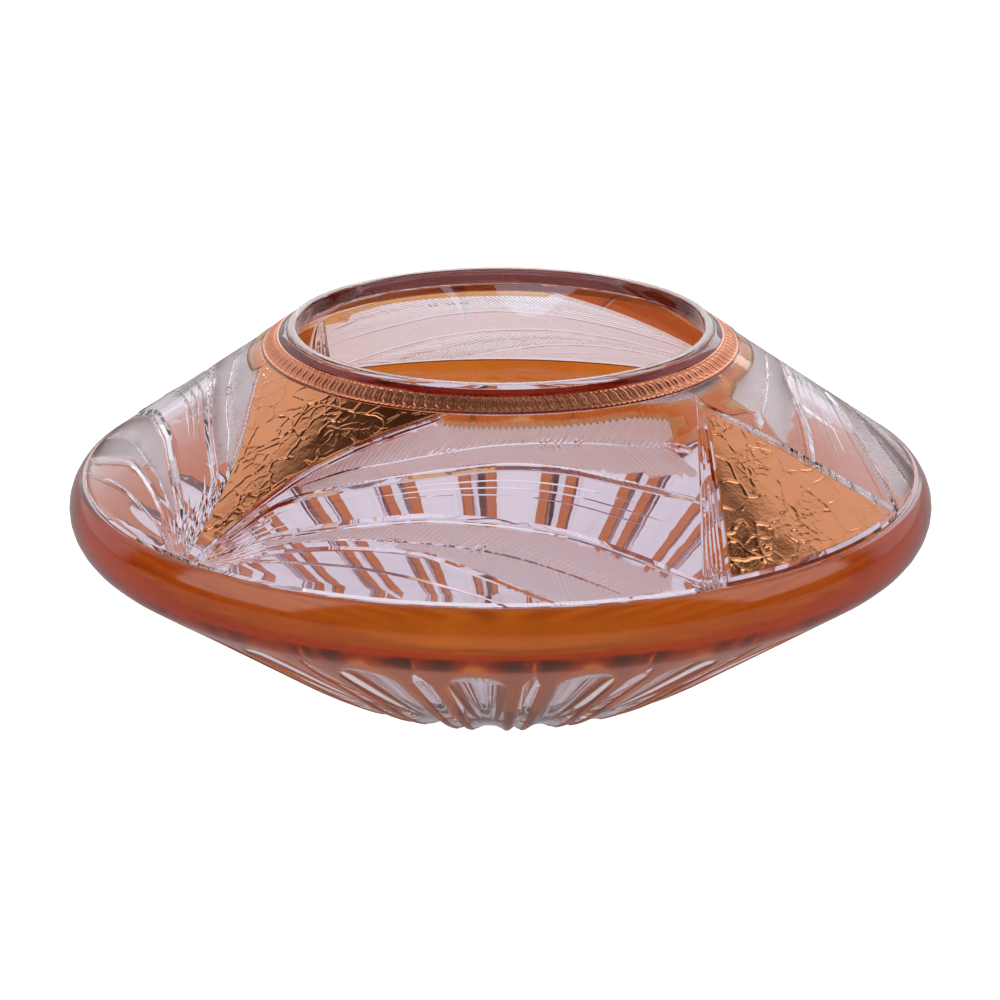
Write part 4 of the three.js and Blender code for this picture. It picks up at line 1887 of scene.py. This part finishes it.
@dataclass(frozen=True)
class CrystalFinish:
    """Polished lead crystal with a trace of lilac, satin where the ferns are cut."""

    clear: Colour = Colour(0.905, 0.850, 0.915)
    tinted: Colour = Colour(0.890, 0.825, 0.895)
    frosted: Colour = Colour(0.995, 0.965, 0.995)
    index: float = 1.53
    polish: float = 0.012
    satin: float = 0.64
    clouding: float = 9.0
    wear: float = 0.02
    waves: float = 0.35
    wave_height: float = 0.0008

    def material(self, effects: SharedEffects) -> Material:
        """Builds the material.

        Args:
            effects: the shared effects.

        Returns:
            The material.
        """
        material, tree, shader = new_glass("cut_crystal", self.index)
        matt = tree.attribute("satin")
        clear = tree.blend(tree.effect(effects.clouding, Scale=self.clouding), self.clear, self.tinted)
        wear = tree.effect(effects.handling, Base=self.polish, Amount=self.wear)
        grain = tree.span(tree.noise(1400.0, 3.0), (0.3, 0.6), (0.7, 1.1))
        satin = tree.math("MULTIPLY", tree.math("MULTIPLY", matt, self.satin), grain)
        tree.fill(shader, {
            "Base Color": tree.choice(matt, clear, self.frosted.rgba()),
            "Roughness": tree.math("ADD", wear, satin),
            "Normal": tree.bump(tree.effect(effects.waves), self.waves, self.wave_height),
        })
        return material


@dataclass(frozen=True)
class AmberFinish:
    """Amber glass in a thin overlay, a little uneven in depth."""

    light: Colour = Colour(0.73, 0.210, 0.018)
    deep: Colour = Colour(0.64, 0.165, 0.012)
    index: float = 1.53
    softness: float = 0.12
    clouding: float = 18.0
    wear: float = 0.035
    waves: float = 0.35
    wave_height: float = 0.0008

    def material(self, effects: SharedEffects, name: str) -> Material:
        """Builds the material.

        Args:
            effects: the shared effects.
            name: its name.

        Returns:
            The material.
        """
        material, tree, shader = new_glass(name, self.index)
        cloud = tree.effect(effects.clouding, Scale=self.clouding)
        tree.fill(shader, {
            "Base Color": tree.blend(cloud, self.light, self.deep),
            "Roughness": tree.effect(effects.handling, Base=self.softness, Amount=self.wear),
            "Normal": tree.bump(tree.effect(effects.waves), self.waves, self.wave_height),
        })
        return material


@dataclass(frozen=True)
class GildingFinish:
    """Fired and burnished gold, coppery where it is thin, with painted shade darkening its raised crackle
    veins.
    """

    bright: Colour = Colour(0.86, 0.375, 0.18)
    thin: Colour = Colour(0.80, 0.33, 0.15)
    # vein: colour of the painted shade that is mixed into the raised crackle veins
    vein: Colour = Colour(0.45, 0.19, 0.06)
    polish: float = 0.12
    grain: float = 0.35
    clouding: float = 60.0
    wear: float = 0.08
    grain_height: float = 0.0003

    def material(self, effects: SharedEffects, name: str) -> Material:
        """Builds the material.

        Args:
            effects: the shared effects.
            name: its name.

        Returns:
            The material.
        """
        material, tree, shader = new_material(name, {"Metallic": 1.0})
        fired = tree.blend(tree.effect(effects.clouding, Scale=self.clouding), self.bright, self.thin)
        # painted shade: up to a quarter of the vein colour where the crackle's relief stands highest
        vein = tree.span(tree.attribute("satin"), (0.15, 0.0), (0.9, 0.25))
        fine, slow = tree.noise(900.0, 4.0), tree.noise(160.0, 2.0)
        both = tree.math("ADD", tree.math("MULTIPLY", fine, 0.35), slow)
        tree.fill(shader, {
            "Base Color": tree.choice(vein, fired, self.vein.rgba()),
            "Roughness": tree.effect(effects.handling, Base=self.polish, Amount=self.wear),
            "Normal": tree.bump(both, self.grain, self.grain_height),
        })
        return material


# ------------------------------------------------------------------ studio
@dataclass
class Studio:
    """Pale floor, soft boxes, sky and camera.

    Args:
        look_at: the point the camera looks at, in metres.
        distance: how far off the camera stands, in metres.
        elevation: angle of the camera above the floor's plane.
        lens: focal length of the camera.
        glow: light that the floor gives off.
        backdrop_lift: what the floor gives off besides where the camera sees it.
        mirrored_drop: what it gives off less where it is mirrored.
        overhead: direction of the soft light that only mirrors see.
    """

    look_at: tuple[float, float, float] = (0.0, 0.0, 0.0647)
    distance: float = 1.515
    elevation: float = 18.4
    lens: float = 156.0
    glow: float = 0.64
    backdrop_lift: float = 0.50
    mirrored_drop: float = 0.46
    overhead: tuple[float, float, float] = (0.0, -0.30, 0.954)

    def build(self) -> None:
        """Builds everything that isn't the bowl."""
        self._floor()
        self._sky()
        self._lights()
        self._camera()

    def _floor(self) -> None:
        """A pale sweep."""
        bpy.ops.mesh.primitive_plane_add(size=14.0, location=(0.0, 0.0, 0.0))
        floor = bpy.context.object
        floor.name = "floor"
        plain = {"Roughness": 0.9, "Specular IOR Level": 0.1, "Emission Color": WHITE}
        material, tree, shader = new_material("floor_paper", plain)
        mask = tree.span(tree.noise(3.0, 2.0), (0.3, 0.0), (0.7, 1.0))
        rays = tree.add("ShaderNodeLightPath").outputs
        seen = tree.math("MULTIPLY", rays["Is Camera Ray"], self.backdrop_lift)
        mirrored = tree.math("MULTIPLY", rays["Is Reflection Ray"], self.mirrored_drop)
        tree.fill(shader, {
            "Base Color": tree.blend(mask, Colour(0.36, 0.36, 0.365), Colour(0.38, 0.38, 0.38)),
            "Emission Strength": tree.math("SUBTRACT", tree.math("ADD", seen, self.glow), mirrored),
        })
        material.cycles.emission_sampling = "NONE"
        floor.data.materials.append(material)
        floor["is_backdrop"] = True

    def _sky(self) -> None:
        """White to the camera, bright through the glass; mirrored, bright only behind and overhead."""
        world = bpy.data.worlds.new("studio")
        bpy.context.scene.world = world
        world.use_nodes = True
        world.cycles.sampling_method = "NONE"
        world.node_tree.nodes.clear()
        tree = Tree(world.node_tree)
        heading = tree.add("ShaderNodeTexCoord").outputs["Generated"]
        axes = tree.add("ShaderNodeSeparateXYZ", {0: heading}).outputs
        behind = tree.span(axes["Y"], (0.35, 0.0), (0.45, 1.0))
        towards = tree.add("ShaderNodeVectorMath", {0: heading, 1: self.overhead}, operation="DOT_PRODUCT")
        overhead = tree.span(towards.outputs["Value"], (0.93, 0.0), (0.965, 0.62))
        above = tree.span(axes["Z"], (0.35, 0.0), (0.95, 1.0))
        through = tree.blend(above, Colour(0.95, 0.92, 0.97), Colour(0.74, 0.70, 0.76))
        mirrored = tree.blend(tree.math("MAXIMUM", behind, overhead), Colour(0.05, 0.035, 0.035),
                              Colour(0.77, 0.74, 0.78))
        rays = tree.add("ShaderNodeLightPath").outputs
        colour = tree.choice(rays["Is Reflection Ray"], through, mirrored)
        colour = tree.choice(rays["Is Camera Ray"], colour, WHITE)
        background = tree.add("ShaderNodeBackground", {"Strength": 1.02, "Color": colour})
        tree.add("ShaderNodeOutputWorld", {"Surface": background.outputs["Background"]})

    def _lights(self) -> None:
        """Three soft boxes: left, right and behind."""
        boxes = (
            ("left_box", (-1.5, -0.5, 1.1), (1.3, 1.5), 11.0),
            ("right_box", (1.6, -0.2, 1.2), (1.3, 1.5), 10.0),
            ("back_box", (0.1, 1.9, 1.0), (2.0, 1.0), 10.0),
        )
        for name, place, size, power in boxes:
            data = bpy.data.lights.new(name, "AREA")
            data.shape = "RECTANGLE"
            data.size, data.size_y = size
            data.energy = power
            light = bpy.data.objects.new(name, data)
            bpy.context.collection.objects.link(light)
            light.location = place
            aim = Vector((0.0, 0.0, 0.06)) - Vector(place)
            light.rotation_euler = aim.to_track_quat("-Z", "Y").to_euler()
            light.visible_camera = False
            light.visible_transmission = False

    def _camera(self) -> None:
        """The camera, in front and a little above."""
        data = bpy.data.cameras.new("camera")
        data.lens = self.lens
        data.sensor_width = 36.0
        data.shift_x = -0.0005
        data.shift_y = 0.0025
        data.clip_end = 50.0
        camera = bpy.data.objects.new("camera", data)
        bpy.context.collection.objects.link(camera)
        lift = math.radians(self.elevation)
        target = Vector(self.look_at)
        camera.location = target + Vector((0.0, -math.cos(lift), math.sin(lift))) * self.distance
        camera.rotation_euler = (target - camera.location).to_track_quat("-Z", "Y").to_euler()
        bpy.context.scene.camera = camera


def dress(piece: Piece, material: Material, slot: Slot, *nodes: str) -> None:
    """Gives a piece its finish and sets it in the place of CAD nodes.

    Args:
        piece: the piece.
        material: its material.
        slot: not used.
        nodes: names of the CAD nodes that it stands for.
    """
    piece.data.materials.append(material)
    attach(piece, ROOT)
    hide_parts(*nodes)
    LOG.info("%s: %d faces in place of %s", piece.name, len(piece.data.polygons), ", ".join(nodes))


def main() -> None:
    """Builds the bowl and the studio round it."""
    logging.basicConfig(level=logging.INFO, format="%(message)s")
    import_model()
    cad_box = [list(corner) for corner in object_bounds()]
    size = [cad_box[1][k] - cad_box[0][k] for k in range(3)]
    LOG.info("CAD box %s", size)
    meridian = Meridian(height=round(size[2] / MM, 1), widest=150.0)
    span = WEDGE_AXES[0] - FAN_AXES[0]
    pattern = ShoulderPattern(meridian, span)
    flutes = FlutePattern(meridian)
    sectors = [Sector(FAN_AXES[0], WEDGE_AXES[0], span), Sector(FAN_AXES[1], WEDGE_AXES[0], span),
               Sector(FAN_AXES[1], WEDGE_AXES[1], span),
               Sector(FAN_AXES[0], WEDGE_AXES[1] - FULL_TURN, span)]
    effects = SharedEffects()
    crystal = CrystalFinish().material(effects)
    amber = AmberFinish().material(effects, "amber_casing")
    thin_amber = AmberFinish(Colour(0.95, 0.60, 0.25), Colour(0.93, 0.52, 0.20), softness=0.05).material(
        effects, "thin_amber")
    rim_amber = AmberFinish(Colour(0.36, 0.045, 0.018), Colour(0.29, 0.032, 0.015), softness=0.04).material(
        effects, "rim_amber")
    gold = GildingFinish().material(effects, "gilding")
    frieze_gold = GildingFinish(bright=Colour(0.78, 0.31, 0.165), thin=Colour(0.66, 0.24, 0.12), polish=0.27,
                                grain=0.2).material(effects, "frieze_gilding")

    dress(CrystalBody(meridian, pattern, flutes, sectors).build(), crystal, Slot.CRYSTAL,
          "crystal_shoulder", "crystal_belly", "crystal_foot")
    dress(GirdleCasing(meridian, flutes).build(), amber, Slot.AMBER, "amber_girdle_casing")
    dress(RimCasing(meridian).build(), rim_amber, Slot.AMBER, "amber_rim_casing")
    dress(Frieze(meridian).build(), frieze_gold, Slot.GILDING, "gilt_frieze_band")
    for kind, axes, seeds in ((PanelKind.FAN, FAN_AXES, (3, 4)), (PanelKind.WEDGE, WEDGE_AXES, (8, 9))):
        for number, (axis, seed) in enumerate(zip(axes, seeds), start=1):
            panel = Panel(meridian, pattern, kind, axis, number)
            dress(panel.build_bed(), thin_amber, Slot.AMBER, f"amber_{kind.value}_bed_{number}")
            dress(panel.build_gilding(Crackle(seed)), gold, Slot.GILDING, f"gilt_{kind.value}_panel_{number}")
    for number, sector in enumerate(sectors, start=1):
        field_piece = AmberField(meridian, pattern, sector, number).build()
        dress(field_piece, thin_amber, Slot.AMBER, f"amber_field_{number}")
    Studio().build()
    scene = bpy.context.scene
    scene.view_settings.view_transform = "Standard"
    scene.cycles.max_bounces = 40
    scene.cycles.transmission_bounces = 32
    scene.cycles.glossy_bounces = 12
    scene.cycles.transparent_max_bounces = 16


if __name__ == "__main__":
    main()
